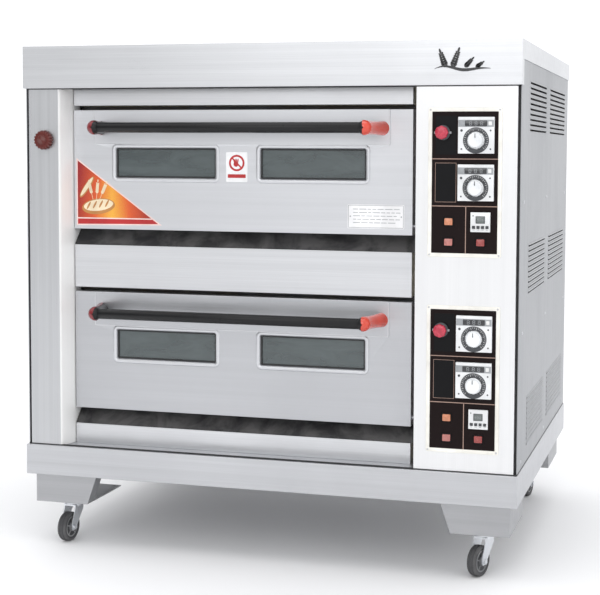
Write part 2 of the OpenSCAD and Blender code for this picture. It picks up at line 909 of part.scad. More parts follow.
module caster_wheel(i) {
    c = casters[i];
    r = wheel_d / 2;
    shoulder = 5;
    half = wheel_w / 2;
    bore = axle_r + run_gap;
    hub = hub_w / 2;
    tread = [for (a = [-80 : 20 : 80])
        [r - shoulder + shoulder * cos(a), (half - shoulder) * sign(a) + shoulder * sin(a)]];
    color(black_plastic) at_caster(c) rotate([0, 0, c[2]]) translate([0, -caster_trail, r])
        rotate([0, 90, 0]) rotate_extrude($fn = 96) polygon(concat(
            [[bore, -hub], [13, -hub], [15, 4 - half], [r - 13, 4 - half], [r - 10, -half]],
            tread,
            [[r - 10, half], [r - 13, half - 4], [15, half - 4], [13, hub], [bore, hub]]
        ));
}

// ---------- what each node holds ----------

base_frame();
top_cap();
left_column();
control_column();
left_side_panel();
right_side_panel();
back_panel();
rails_and_posts();
door_sills();
chamber(upper_door_z);  // upper_chamber
chamber(lower_door_z);  // lower_chamber
hearth_plates();
heating_elements();
insulation();
legs();
caster_plates();
control_plates();
temperature_controllers();
timers();
vent_duct();
terminal_box();
door_springs();
door_shell(upper_door_z);  // upper_door_shell
door_liner(upper_door_z);  // upper_door_liner
door_glass(upper_door_z);  // upper_door_glass
door_handle(upper_door_z);  // upper_door_handle
door_shell(lower_door_z);  // lower_door_shell
door_liner(lower_door_z);  // lower_door_liner
door_glass(lower_door_z);  // lower_door_glass
door_handle(lower_door_z);  // lower_door_handle
vent_knob();
vent_damper();
caster_fork(0);  // fork_front_left
caster_fork(1);  // fork_front_right
caster_fork(2);  // fork_rear_left
caster_fork(3);  // fork_rear_right
caster_wheel(0);  // wheel_front_left
caster_wheel(1);  // wheel_front_right
caster_wheel(2);  // wheel_rear_left
caster_wheel(3);  // wheel_rear_right
heat_knob(control_tops[0], 0);  // upper_top_heat_knob
heat_knob(control_tops[0], 1);  // upper_bottom_heat_knob
heat_knob(control_tops[1], 0);  // lower_top_heat_knob
heat_knob(control_tops[1], 1);  // lower_bottom_heat_knob
stop_button(control_tops[0]);  // upper_stop_button
stop_button(control_tops[1]);  // lower_stop_button
square_switch(control_tops[0], 0);  // upper_top_heat_switch
square_switch(control_tops[0], 1);  // upper_bottom_heat_switch
square_switch(control_tops[0], 2);  // upper_alarm_switch
square_switch(control_tops[1], 0);  // lower_top_heat_switch
square_switch(control_tops[1], 1);  // lower_bottom_heat_switch
square_switch(control_tops[1], 2);  // lower_alarm_switch
timer_key(control_tops[0], 0);  // upper_timer_key_1
timer_key(control_tops[0], 1);  // upper_timer_key_2
timer_key(control_tops[0], 2);  // upper_timer_key_3
timer_key(control_tops[0], 3);  // upper_timer_key_4
timer_key(control_tops[1], 0);  // lower_timer_key_1
timer_key(control_tops[1], 1);  // lower_timer_key_2
timer_key(control_tops[1], 2);  // lower_timer_key_3
timer_key(control_tops[1], 3);  // lower_timer_key_4
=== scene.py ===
import json
import math
import random

import bmesh
import bpy
from mathutils import Matrix, Vector


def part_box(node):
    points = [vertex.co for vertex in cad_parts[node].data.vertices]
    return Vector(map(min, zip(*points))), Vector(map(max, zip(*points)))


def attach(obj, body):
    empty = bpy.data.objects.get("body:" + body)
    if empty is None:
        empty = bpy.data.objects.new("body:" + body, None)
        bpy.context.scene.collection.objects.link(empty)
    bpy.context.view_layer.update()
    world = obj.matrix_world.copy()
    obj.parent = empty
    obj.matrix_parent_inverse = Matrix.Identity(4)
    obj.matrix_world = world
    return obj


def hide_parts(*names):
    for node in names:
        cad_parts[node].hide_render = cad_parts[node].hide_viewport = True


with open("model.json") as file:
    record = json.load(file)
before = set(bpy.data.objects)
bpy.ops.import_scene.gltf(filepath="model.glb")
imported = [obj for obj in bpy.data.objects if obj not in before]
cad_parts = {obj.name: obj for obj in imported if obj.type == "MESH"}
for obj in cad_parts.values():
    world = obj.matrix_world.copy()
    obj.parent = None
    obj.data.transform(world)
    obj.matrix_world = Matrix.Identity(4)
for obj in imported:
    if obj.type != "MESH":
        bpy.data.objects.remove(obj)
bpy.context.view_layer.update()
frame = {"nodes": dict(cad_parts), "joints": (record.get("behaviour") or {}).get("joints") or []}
MM = 0.001
CABINET = "cabinet"
random.seed(7)


# ---------- where things are, from the frame ----------

def limits(node):
    low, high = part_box(node)
    return low, high


cap_lo, cap_hi = limits("top_cap")
base_lo, base_hi = limits("base_frame")
panel_lo, panel_hi = limits("right_side_panel")
column_lo, column_hi = limits("left_column")
control_lo, control_hi = limits("control_column")
back_lo, back_hi = limits("back_panel")
box_lo, box_hi = limits("terminal_box")
duct_lo, duct_hi = limits("vent_duct")
plates_lo, plates_hi = limits("control_plates")
glass_lo, glass_hi = limits("upper_door_glass")
FACE_Y = control_lo.y
PLATE_Y = plates_lo.y


# ---------- materials ----------

class Nodes:
    """A small builder for one material's node tree."""

    def __init__(self, name):
        self.material = bpy.data.materials.new(name)
        self.material.use_nodes = True
        self.tree = self.material.node_tree
        self.shader = self.tree.nodes["Principled BSDF"]
        self.coords = self.tree.nodes.new("ShaderNodeTexCoord").outputs["Object"]

    def node(self, kind, **values):
        made = self.tree.nodes.new("ShaderNode" + kind)
        for key, value in values.items():
            setattr(made, key, value)
        return made

    def link(self, out, into):
        self.tree.links.new(out, into)

    def mapped(self, scale, turn=(0, 0, 0)):
        made = self.node("Mapping")
        made.inputs["Scale"].default_value = scale
        made.inputs["Rotation"].default_value = turn
        self.link(self.coords, made.inputs["Vector"])
        return made.outputs["Vector"]

    def noise(self, vector, scale=1.0, detail=3.0, rough=0.5, warp=0.0):
        made = self.node("TexNoise")
        self.link(vector, made.inputs["Vector"])
        made.inputs["Scale"].default_value = scale
        made.inputs["Detail"].default_value = detail
        made.inputs["Roughness"].default_value = rough
        made.inputs["Distortion"].default_value = warp
        return made.outputs["Fac"]

    def ranged(self, value, low, high, to_low, to_high):
        made = self.node("MapRange")
        self.link(value, made.inputs["Value"])
        for key, number in (("From Min", low), ("From Max", high), ("To Min", to_low), ("To Max", to_high)):
            made.inputs[key].default_value = number
        return made.outputs["Result"]

    def mix(self, factor, first, second, kind="MIX"):
        made = self.node("Mix", data_type="RGBA", blend_type=kind)
        for socket, value in ((made.inputs[0], factor), (made.inputs[6], first), (made.inputs[7], second)):
            if isinstance(value, bpy.types.NodeSocket):
                self.link(value, socket)
            else:
                socket.default_value = value
        return made.outputs[2]

    def maths(self, kind, first, second):
        made = self.node("Math", operation=kind)
        for socket, value in zip(made.inputs, (first, second)):
            if isinstance(value, bpy.types.NodeSocket):
                self.link(value, socket)
            else:
                socket.default_value = value
        return made.outputs[0]

    def bump(self, height, strength, distance):
        made = self.node("Bump")
        made.inputs["Strength"].default_value = strength
        made.inputs["Distance"].default_value = distance
        self.link(height, made.inputs["Height"])
        self.link(made.outputs["Normal"], self.shader.inputs["Normal"])

    def edges(self, low, high):
        return self.ranged(self.node("NewGeometry").outputs["Pointiness"], low, high, 0.0, 1.0)


def rgba(colour, factor=1.0):
    return tuple(min(1.0, c * factor) for c in colour[:3]) + (1.0,)


GRAINS = {"X": (2.5, 900, 900), "Y": (900, 2.5, 900), "Z": (900, 900, 2.5)}
BANDS = {"X": (0.8, 70, 70), "Y": (70, 0.8, 70), "Z": (70, 70, 0.8)}


def steel(name, tint, rough=0.33, grain="X", streak=0.10, smudge=0.06, metal=0.92, painted_highlight_from=None):
    """Brushed sheet steel: fine scratches along one axis, broader bands and finger smudges.

    Beyond a given place on the X axis the sheet is painted pale and nearly non-metallic: a painted highlight on the
    fold and return there.
    """
    n = Nodes(name)
    fine = n.noise(n.mapped(GRAINS[grain]), detail=4, rough=0.65)
    bands = n.noise(n.mapped(BANDS[grain]), detail=2)
    cloud = n.noise(n.mapped((2.2, 2.2, 2.2)), detail=4, rough=0.55, warp=0.4)
    speck = n.noise(n.mapped((45, 45, 45)), detail=2, rough=0.7)
    both = n.maths("ADD", n.maths("MULTIPLY", fine, 0.6), n.maths("MULTIPLY", bands, 0.4))
    colour = n.mix(n.ranged(both, 0.3, 0.7, 0, 1), rgba(tint, 1 - streak), rgba(tint, 1 + streak))
    colour = n.mix(n.ranged(cloud, 0.45, 0.75, 0, smudge * 2), colour, rgba(tint, 0.72))
    n.shader.inputs["Metallic"].default_value = metal
    # Painted highlight: a pale, nearly non-metallic strip beyond the given place on the X axis.
    if painted_highlight_from is not None:
        split = n.node("SeparateXYZ")
        n.link(n.mapped((1, 1, 1)), split.inputs["Vector"])
        pale = n.ranged(split.outputs["X"], painted_highlight_from, painted_highlight_from + 1 * MM, 0, 1)
        colour = n.mix(pale, colour, n.mix(fine, (0.86, 0.86, 0.85, 1), (0.94, 0.94, 0.93, 1)))
        n.link(n.ranged(pale, 0, 1, metal, 0.1), n.shader.inputs["Metallic"])
    n.link(colour, n.shader.inputs["Base Color"])
    shine = n.ranged(fine, 0.3, 0.7, rough - 0.07, rough + 0.07)
    shine = n.maths("ADD", shine, n.ranged(cloud, 0.4, 0.8, 0, smudge * 2.2))
    shine = n.maths("ADD", shine, n.ranged(speck, 0.55, 0.8, 0, 0.05))
    n.link(shine, n.shader.inputs["Roughness"])
    n.shader.inputs["Anisotropic"].default_value = 0.4
    n.bump(both, 0.08, 0.0003)
    return n.material


def paint(name, tint, rough=0.45, grain=260, wear=0.0, metal=0.0, coat=0.0, dust=0.12, shine_level=0.5):
    """Paint, enamel or moulded plastic: mottled colour, fine skin, dust and rubbed edges."""
    n = Nodes(name)
    skin = n.noise(n.mapped((grain, grain, grain)), detail=3, rough=0.6)
    cloud = n.noise(n.mapped((14, 14, 14)), detail=5, rough=0.6, warp=0.6)
    colour = n.mix(n.ranged(cloud, 0.35, 0.7, 0, 1), rgba(tint, 0.88), rgba(tint, 1.12))
    colour = n.mix(n.ranged(skin, 0.6, 0.85, 0, dust), colour, rgba((0.75, 0.74, 0.72)))
    if wear:
        rubbed = n.maths("MULTIPLY", n.edges(0.52, 0.58), n.ranged(cloud, 0.4, 0.6, 0.2, 1.0))
        colour = n.mix(n.maths("MULTIPLY", rubbed, wear), colour, rgba((0.62, 0.60, 0.58)))
    n.link(colour, n.shader.inputs["Base Color"])
    shine = n.maths("ADD", n.ranged(skin, 0.3, 0.7, rough - 0.05, rough + 0.05),
                    n.ranged(cloud, 0.4, 0.8, -0.03, 0.06))
    n.link(shine, n.shader.inputs["Roughness"])
    n.shader.inputs["Metallic"].default_value = metal
    n.shader.inputs["Coat Weight"].default_value = coat
    n.shader.inputs["Specular IOR Level"].default_value = shine_level
    n.bump(n.maths("ADD", skin, n.maths("MULTIPLY", cloud, 2.0)), 0.10, 0.0003)
    return n.material


def heated(name, cool, hot, rough=0.5, metal=0.7, patch=9.0):
    """Metal that has been in the heat: patches of straw and blue-brown oxide and fine scale."""
    n = Nodes(name)
    patches = n.noise(n.mapped((patch, patch, patch)), detail=6, rough=0.6, warp=1.0)
    scale = n.noise(n.mapped((320, 320, 320)), detail=3, rough=0.7)
    colour = n.mix(n.ranged(patches, 0.38, 0.66, 0, 1), rgba(cool), rgba(hot))
    colour = n.mix(n.ranged(scale, 0.58, 0.8, 0, 0.5), colour, rgba(hot, 0.5))
    n.link(colour, n.shader.inputs["Base Color"])
    n.link(n.ranged(patches, 0.3, 0.7, rough - 0.1, rough + 0.15), n.shader.inputs["Roughness"])
    n.shader.inputs["Metallic"].default_value = metal
    n.bump(scale, 0.18, 0.0004)
    return n.material


def window_glass(name):
    """Dark heat-resistant glass with a faint haze and wiping marks."""
    n = Nodes(name)
    haze = n.noise(n.mapped((9, 9, 30)), detail=5, rough=0.6, warp=0.8)
    wipes = n.noise(n.mapped((6, 6, 120)), detail=3)
    n.link(n.mix(n.ranged(haze, 0.3, 0.75, 0, 1), (0.055, 0.072, 0.075, 1), (0.10, 0.125, 0.128, 1)),
           n.shader.inputs["Base Color"])
    n.link(n.ranged(n.maths("MULTIPLY", haze, wipes), 0.1, 0.5, 0.04, 0.16), n.shader.inputs["Roughness"])
    n.shader.inputs["IOR"].default_value = 1.52
    n.shader.inputs["Specular IOR Level"].default_value = 0.8
    n.shader.inputs["Alpha"].default_value = 0.86
    n.bump(haze, 0.03, 0.0005)
    return n.material


def wool_fabric(name):
    n = Nodes(name)
    fibres = n.noise(n.mapped((60, 60, 420)), detail=6, rough=0.7, warp=1.5)
    lumps = n.noise(n.mapped((18, 18, 18)), detail=4)
    n.link(n.mix(n.ranged(fibres, 0.3, 0.7, 0, 1), (0.46, 0.40, 0.24, 1), (0.78, 0.72, 0.52, 1)),
           n.shader.inputs["Base Color"])
    n.link(n.ranged(lumps, 0.3, 0.7, 0.85, 0.98), n.shader.inputs["Roughness"])
    n.shader.inputs["Sheen Weight"].default_value = 0.3
    n.bump(n.maths("ADD", fibres, lumps), 0.6, 0.003)
    return n.material


def lit_plastic(name, tint, strength):
    """Translucent coloured plastic that glows: a lamp behind it in the switches, painted light on the stop button,
    which has none.
    """
    n = Nodes(name)
    glow = n.noise(n.mapped((90, 90, 90)), detail=3)
    colour = n.mix(n.ranged(glow, 0.3, 0.7, 0, 1), rgba(tint, 0.8), rgba(tint, 1.15))
    n.link(colour, n.shader.inputs["Base Color"])
    n.link(colour, n.shader.inputs["Emission Color"])
    n.shader.inputs["Emission Strength"].default_value = strength
    n.link(n.ranged(glow, 0.3, 0.7, 0.2, 0.32), n.shader.inputs["Roughness"])
    n.shader.inputs["Coat Weight"].default_value = 0.4
    n.bump(glow, 0.05, 0.0003)
    return n.material


def sticker_print(name, low, high):
    """Printed vinyl whose colour runs from deep red at the sides to orange and yellow in the middle."""
    n = Nodes(name)
    split = n.node("SeparateXYZ")
    n.link(n.coords, split.inputs["Vector"])
    across = n.ranged(split.outputs["X"], low.x, high.x, 0, 1)
    up = n.ranged(split.outputs["Z"], low.z, high.z, 0, 1)
    spread = n.maths("ADD", n.maths("ABSOLUTE", n.maths("SUBTRACT", across, 0.42), 0), n.maths("MULTIPLY", up, 0.1))
    dots = n.noise(n.mapped((420, 420, 420)), detail=2)
    spread = n.maths("ADD", spread, n.ranged(dots, 0.3, 0.7, -0.03, 0.03))
    ramp = n.node("ValToRGB")
    stops = ramp.color_ramp.elements
    stops[0].position, stops[0].color = 0.02, (0.84, 0.42, 0.05, 1)
    stops[1].position, stops[1].color = 0.46, (0.30, 0.012, 0.012, 1)
    middle = stops.new(0.22)
    middle.color = (0.66, 0.10, 0.02, 1)
    n.link(spread, ramp.inputs["Fac"])
    n.link(ramp.outputs["Color"], n.shader.inputs["Base Color"])
    n.link(n.ranged(dots, 0.3, 0.7, 0.25, 0.4), n.shader.inputs["Roughness"])
    n.bump(dots, 0.03, 0.0002)
    return n.material


cap_steel = steel("cap_steel", (0.655, 0.663, 0.68), 0.34, "X")
base_steel = steel("base_steel", (0.545, 0.552, 0.57), 0.36, "X")
door_steel = steel("door_steel", (0.63, 0.638, 0.66), 0.36, "X", 0.06)
# The lower door's steel is a darker copy of the upper door's: painted shade.
lower_door_steel_painted_shade = steel("lower_door_steel_painted_shade", (0.51, 0.517, 0.537), 0.36, "X", 0.06)
rail_steel = steel("rail_steel", (0.65, 0.657, 0.675), 0.34, "X")
# The left column's last 17 mm, its bevel and return, carry a painted highlight: pale, nearly non-metallic colour.
column_steel_with_painted_highlight = steel("column_steel_with_painted_highlight", (0.55, 0.558, 0.572), 0.34, "Z", painted_highlight_from=column_hi.x - 17 * MM)
control_steel = steel("control_steel", (0.8, 0.803, 0.808), 0.38, "Z", 0.04, 0.03)
# The side panels, back panel and louvre hoods get a darker steel tint: painted shade.
side_steel_painted_shade = steel("side_steel_painted_shade", (0.38, 0.388, 0.403), 0.38, "Z")
leg_steel = steel("leg_steel", (0.42, 0.424, 0.437), 0.40, "X")
duct_steel = steel("duct_steel", (0.58, 0.59, 0.60), 0.42, "Z")
zinc = steel("zinc_plate", (0.72, 0.74, 0.77), 0.30, "Z", 0.05, 0.10)
screw_steel = steel("screw_steel", (0.62, 0.63, 0.65), 0.28, "X", 0.05)
dark_sheet = paint("dark_sheet", (0.016, 0.017, 0.019), 0.55, 300, wear=0.25, dust=0.05)
# The door sills are dark sheet made near-black and less shiny: painted shade for the recess below each door.
sill_painted_shade = paint("sill_painted_shade", (0.012, 0.012, 0.014), 0.48, 420, wear=0.1, dust=0.01, shine_level=0.3)
enamel = heated("chamber_enamel", (0.055, 0.056, 0.060), (0.085, 0.070, 0.055), 0.5, 0.5)
hearth_metal = heated("hearth_metal", (0.24, 0.235, 0.23), (0.16, 0.11, 0.075), 0.45, 0.85)
element_metal = heated("element_sheath", (0.16, 0.12, 0.11), (0.09, 0.06, 0.055), 0.55, 0.6, 40)
wool = wool_fabric("mineral_wool")
glass = window_glass("window_glass")
rubber = paint("black_rubber", (0.022, 0.022, 0.024), 0.62, 420, dust=0.05)
tread = paint("wheel_tread", (0.045, 0.046, 0.050), 0.68, 380, wear=0.25, dust=0.10)
hub_plastic = paint("wheel_hub", (0.16, 0.165, 0.175), 0.48, 300, wear=0.3)
black_gloss = paint("black_gloss", (0.010, 0.010, 0.011), 0.34, 200, dust=0.01, shine_level=0.28)
red_gloss = paint("red_gloss", (0.62, 0.050, 0.022), 0.20, 180, coat=0.6, dust=0.02)
# A darker copy of red_gloss for the left bracket's shell: painted shade.
red_painted_shade = paint("red_painted_shade", (0.20, 0.012, 0.018), 0.24, 180, coat=0.4, dust=0.02)
knob_red = paint("knob_red", (0.105, 0.014, 0.010), 0.46, 260, wear=0.1, dust=0.02, shine_level=0.3)
panel_black = paint("panel_black", (0.0075, 0.0028, 0.0030), 0.50, 200, dust=0.004, shine_level=0.14)
panel_window = paint("panel_window", (0.003, 0.003, 0.004), 0.34, 120, dust=0.002, shine_level=0.16)
panel_cream = paint("panel_cream", (0.86, 0.84, 0.78), 0.42, 260, dust=0.03)
panel_gold = paint("panel_gold", (0.40, 0.27, 0.22), 0.38, 260, metal=0.2, dust=0.02)
white_plastic = paint("white_plastic", (0.80, 0.81, 0.82), 0.36, 240, dust=0.04)
knob_white = paint("knob_white", (0.84, 0.86, 0.88), 0.30, 200, coat=0.2, dust=0.03)
grey_plastic = paint("grey_plastic", (0.34, 0.355, 0.37), 0.40, 240, dust=0.04)
dark_plastic = paint("dark_plastic", (0.050, 0.053, 0.060), 0.36, 240, dust=0.03)
display_glass = paint("display_glass", (0.010, 0.012, 0.016), 0.08, 100, coat=0.8, dust=0.01)
lcd_glass = paint("lcd_glass", (0.13, 0.15, 0.145), 0.14, 100, coat=0.6, dust=0.02)
print_white = paint("print_white", (0.78, 0.78, 0.77), 0.45, 300, dust=0.02)
print_pink = paint("print_pink", (0.86, 0.66, 0.62), 0.34, 300, dust=0.02)
print_red = paint("print_red", (0.46, 0.020, 0.022), 0.34, 300, dust=0.02)
print_cream = paint("print_cream", (0.86, 0.72, 0.50), 0.38, 300, dust=0.02)
print_crust = paint("print_crust", (0.50, 0.22, 0.06), 0.38, 300, dust=0.02)
print_grey = paint("print_grey", (0.30, 0.31, 0.33), 0.45, 300, dust=0.02)
label_white = paint("label_white", (0.86, 0.86, 0.87), 0.40, 300, dust=0.02)
badge_black = paint("badge_black", (0.014, 0.015, 0.017), 0.24, 220, coat=0.4, dust=0.02)
switch_inks = {
    "top_heat": lit_plastic("switch_amber", (0.50, 0.19, 0.10), 0.16),
    "bottom_heat": lit_plastic("switch_rose", (0.42, 0.15, 0.13), 0.14),
    "alarm": lit_plastic("switch_red", (0.28, 0.045, 0.040), 0.14),
}
# The stop button has no lamp: its glow is painted light.
stop_red_painted_glow = lit_plastic("stop_red_painted_glow", (0.42, 0.022, 0.050), 0.16)
seal_rope = paint("seal_rope", (0.42, 0.41, 0.38), 0.85, 520, dust=0.2)


# ---------- building pieces ----------

def rounded_outline(w, h, r, steps=5):
    """Points of a rounded rectangle centred on zero, anticlockwise."""
    points = []
    r = max(r, 1e-5)
    for k, (cx, cz) in enumerate(((1, 1), (-1, 1), (-1, -1), (1, -1))):
        for i in range(steps + 1):
            a = math.radians(90 * k + 90 * i / steps)
            points.append((cx * (w / 2 - r) + r * math.cos(a), cz * (h / 2 - r) + r * math.sin(a)))
    return points


def circle_outline(r, count=32, lobes=0, depth=0.0):
    out = []
    for i in range(count):
        a = 2 * math.pi * i / count
        rr = r + depth * math.cos(lobes * a)
        out.append((rr * math.cos(a), rr * math.sin(a)))
    return out


class Piece:
    """Collects geometry, then becomes one object that rides on a body."""

    def __init__(self, name, slot, *materials, body=CABINET, replaces=()):
        self.name, self.slot, self.body, self.replaced = name, slot, body, replaces
        self.materials = materials
        self.bm = bmesh.new()

    def _join(self, part, material, turn=None):
        if turn is not None:
            bmesh.ops.transform(part, matrix=turn, verts=part.verts)
        bmesh.ops.recalc_face_normals(part, faces=part.faces)
        for face in part.faces:
            face.material_index = material
            face.smooth = True
        mesh = bpy.data.meshes.new("part")
        part.to_mesh(mesh)
        part.free()
        self.bm.from_mesh(mesh)
        bpy.data.meshes.remove(mesh)

    def rings(self, rings, material=0, close=True, loop=False, turn=None):
        """A skin through rings of points with the same count; close fills both ends."""
        part = bmesh.new()
        rows = [[part.verts.new(p) for p in ring] for ring in rings]
        count = len(rows[0])
        pairs = list(zip(rows, rows[1:])) + ([(rows[-1], rows[0])] if loop else [])
        for a, b in pairs:
            for i in range(count):
                j = (i + 1) % count
                part.faces.new((a[i], a[j], b[j], b[i]))
        if close and not loop:
            part.faces.new(rows[0][::-1])
            part.faces.new(rows[-1])
        self._join(part, material, turn)

    def plate(self, outline, centre, y0, y1, bevel=0.0, material=0, turn=None):
        """A plate facing -Y: an outline in X and Z, from y0 (front) to y1, with a rounded front edge."""
        cx, cz = centre
        rings = []
        if bevel:
            shrink = self.shrunk(outline, bevel)
            half = self.shrunk(outline, bevel * 0.3)
            rings.append([(cx + x, y0, cz + z) for x, z in shrink])
            rings.append([(cx + x, y0 + bevel * 0.3, cz + z) for x, z in half])
            rings.append([(cx + x, y0 + bevel, cz + z) for x, z in outline])
        else:
            rings.append([(cx + x, y0, cz + z) for x, z in outline])
        rings.append([(cx + x, y1, cz + z) for x, z in outline])
        self.rings(rings, material, turn=turn)

    @staticmethod
    def shrunk(outline, by):
        w = max(x for x, _ in outline)
        h = max(z for _, z in outline)
        return [(x * (1 - by / w), z * (1 - by / h)) for x, z in outline]

    def box(self, low, high, bevel=0.0006, material=0, segments=2, turn=None):
        part = bmesh.new()
        bmesh.ops.create_cube(part, size=1.0)
        size = Vector(high) - Vector(low)
        middle = (Vector(high) + Vector(low)) / 2
        bmesh.ops.transform(part, matrix=Matrix.Translation(middle) @ Matrix.Diagonal((*size, 1)), verts=part.verts)
        if bevel:
            bmesh.ops.bevel(part, geom=part.edges[:], offset=min(bevel, min(size) * 0.45), segments=segments,
                            profile=0.5, affect="EDGES", clamp_overlap=True)
        self._join(part, material, turn)

    def lathe(self, profile, centre, axis="Y", count=40, material=0, lobes=0, depth=0.0, turn=None):
        """A turned shape: (radius, distance along the axis) pairs, lobes waving the radius."""
        rings = []
        for k, (r, along) in enumerate(profile):
            ring = []
            for i in range(count):
                a = 2 * math.pi * i / count
                rr = max(r + (depth * math.cos(lobes * a) if lobes and r > depth * 4 else 0), 1e-5)
                u, v = rr * math.cos(a), rr * math.sin(a)
                offset = {"Y": (u, along, v), "X": (along, u, v), "Z": (u, v, along)}[axis]
                ring.append(tuple(c + o for c, o in zip(centre, offset)))
            rings.append(ring)
        self.rings(rings, material, turn=turn)

    def tube(self, points, r, material=0, count=12, loop=False):
        """A round bar along a path."""
        path = [Vector(p) for p in points]
        rings = []
        last = None
        total = len(path)
        for i, p in enumerate(path):
            ahead = path[(i + 1) % total] if loop or i < total - 1 else p
            behind = path[i - 1] if loop or i > 0 else p
            along = (ahead - behind).normalized()
            side = along.orthogonal().normalized() if last is None else (last - along * last.dot(along)).normalized()
            last = side
            up = along.cross(side)
            rings.append([p + side * r * math.cos(a) + up * r * math.sin(a)
                          for a in (2 * math.pi * k / count for k in range(count))])
        self.rings(rings, material, loop=loop)

    def frame_ring(self, centre, w, h, profile, corner, material=0):
        """A picture-frame moulding: (inset, y) pairs swept round a rounded rectangle."""
        cx, cz = centre
        rings = []
        for inset, y in profile:
            outline = rounded_outline(w - 2 * inset, h - 2 * inset, max(corner - inset, 0.0012))
            rings.append([(cx + x, y, cz + z) for x, z in outline])
        self.rings(rings, material, close=False)

    def sheet_copy(self, node, fold=0.0025, rim=0.0):
        """The CAD node's own shape with its folds rounded."""
        part = bmesh.new()
        part.from_mesh(frame["nodes"][node].data)
        bmesh.ops.remove_doubles(part, verts=part.verts, dist=2e-6)
        bmesh.ops.dissolve_limit(part, angle_limit=math.radians(0.6), verts=part.verts, edges=part.edges)
        folds = []
        rims = []
        for edge in part.edges:
            if len(edge.link_faces) != 2 or not edge.is_convex or edge.calc_length() < 0.004:
                continue
            if edge.calc_face_angle() < math.radians(35):
                continue
            widths = [face.calc_area() / edge.calc_length() for face in edge.link_faces]
            if min(widths) > fold * 3:
                folds.append(edge)
            elif rim and min(widths) > rim * 2.5:
                rims.append(edge)
        if rims:
            bmesh.ops.bevel(part, geom=rims, offset=rim, segments=1, profile=0.5, affect="EDGES", clamp_overlap=True)
            folds = [edge for edge in folds if edge.is_valid]
        if folds:
            bmesh.ops.bevel(part, geom=folds, offset=fold, segments=3, profile=0.5, affect="EDGES", clamp_overlap=True)
        for face in part.faces:
            face.smooth = True
        mesh = bpy.data.meshes.new("part")
        part.to_mesh(mesh)
        part.free()
        self.bm.from_mesh(mesh)
        bpy.data.meshes.remove(mesh)
        return self

    def screw(self, p, axis=(0, -1, 0), r=0.0042, head=0.0018, material=0):
        """A domed cross-head screw whose head stands on p and points along axis."""
        turn = Vector((0, 0, 1)).rotation_difference(Vector(axis)).to_matrix().to_4x4()
        turn = Matrix.Translation(p) @ turn @ Matrix.Rotation(random.uniform(0, 1.5), 4, "Z")
        profile = [(r, 0), (r, head * 0.25), (r * 0.86, head * 0.7), (r * 0.5, head), (r * 0.45, head * 0.55), (0, head * 0.4)]
        self.lathe(profile, (0, 0, 0), "Z", 20, material, turn=turn)
        slot = r * 0.13
        for w, h in ((r * 0.75, slot), (slot, r * 0.75)):
            self.box((-w, -h, head * 0.5), (w, h, head * 0.82), 0, material, turn=turn)

    def done(self, sharp=38, solid=0.0, weighted=True):
        mesh = bpy.data.meshes.new(self.name)
        self.bm.to_mesh(mesh)
        self.bm.free()
        for material in self.materials:
            mesh.materials.append(material)
        mesh.set_sharp_from_angle(angle=math.radians(sharp))
        made = bpy.data.objects.new(self.name, mesh)
        bpy.context.scene.collection.objects.link(made)
        if solid:
            thick = made.modifiers.new("thickness", "SOLIDIFY")
            thick.thickness = solid
            thick.offset = -1
        if weighted:
            made.modifiers.new("normals", "WEIGHTED_NORMAL").keep_sharp = True
        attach(made, self.body)
        if self.replaced:
            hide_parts(*self.replaced)
        return made


def dress(node, material):
    """Gives a CAD node its material."""
    mesh = frame["nodes"][node].data
    mesh.materials.clear()
    mesh.materials.append(material)


def reskin(node, material, slot, body=CABINET, fold=0.0025, rim=0.0, sharp=38):
    piece = Piece(node + "_skin", slot, material, body=body, replaces=(node,))
    piece.sheet_copy(node, fold, rim)
    return piece.done(sharp)


# ---------- sheet metal of the cabinet ----------

reskin("top_cap", cap_steel, "cabinet_steel", fold=0.0030)
reskin("base_frame", base_steel, "cabinet_steel", fold=0.0030)
reskin("left_column", column_steel_with_painted_highlight, "cabinet_steel", fold=0.0020)
reskin("control_column", control_steel, "cabinet_steel", fold=0.0025)
reskin("rails_and_posts", rail_steel, "cabinet_steel", fold=0.0022)
reskin("legs", leg_steel, "cabinet_steel", fold=0.0028)
for node, material in (
    ("left_side_panel", side_steel_painted_shade), ("right_side_panel", side_steel_painted_shade), ("back_panel", side_steel_painted_shade),
    ("door_sills", sill_painted_shade), ("upper_chamber", enamel), ("lower_chamber", enamel),
    ("hearth_plates", hearth_metal), ("heating_elements", element_metal), ("insulation", wool),
    ("vent_duct", duct_steel), ("vent_damper", duct_steel), ("door_springs", zinc),
    ("upper_door_glass", glass), ("lower_door_glass", glass),
):
    dress(node, material)

# Seams, ledge seal and cap seal that read as thin dark lines, partly real seals and partly painted shadow lines under
# the cap and over the base; the strips down the grooves by the side panels are painted shade.
seams_and_painted_shade = Piece("cabinet_seams_and_painted_shade", "dark_sheet", rubber)
seal = 2.4 * MM
seams_and_painted_shade.box((column_lo.x, FACE_Y - 0.4 * MM, base_hi.z), (control_hi.x, FACE_Y + 6 * MM, base_hi.z + seal), 0)
seams_and_painted_shade.box((column_lo.x, FACE_Y - 0.4 * MM, column_hi.z - seal), (control_hi.x, FACE_Y + 6 * MM, column_hi.z), 0)
for side in (-1, 1):
    x0, x1 = sorted((side * (panel_hi.x - 2 * MM), side * (panel_hi.x + 0.5 * MM)))
    seams_and_painted_shade.box((x0, FACE_Y + 4 * MM, base_hi.z), (x1, back_hi.y, base_hi.z + seal), 0)
    # Dark strip down the groove by the side panel: painted shade.
    groove = sorted((side * (control_hi.x + 0.3 * MM), side * (panel_hi.x - 2.3 * MM)))
    seams_and_painted_shade.box((groove[0], FACE_Y + 12 * MM, base_hi.z), (groove[1], FACE_Y + 15 * MM, column_hi.z), 0)
seams_and_painted_shade.done()

# ---------- louvres of the right side panel ----------

SLOT_ROWS, SLOT_PITCH, SLOT_H = 10, 12.6 * MM, 5 * MM


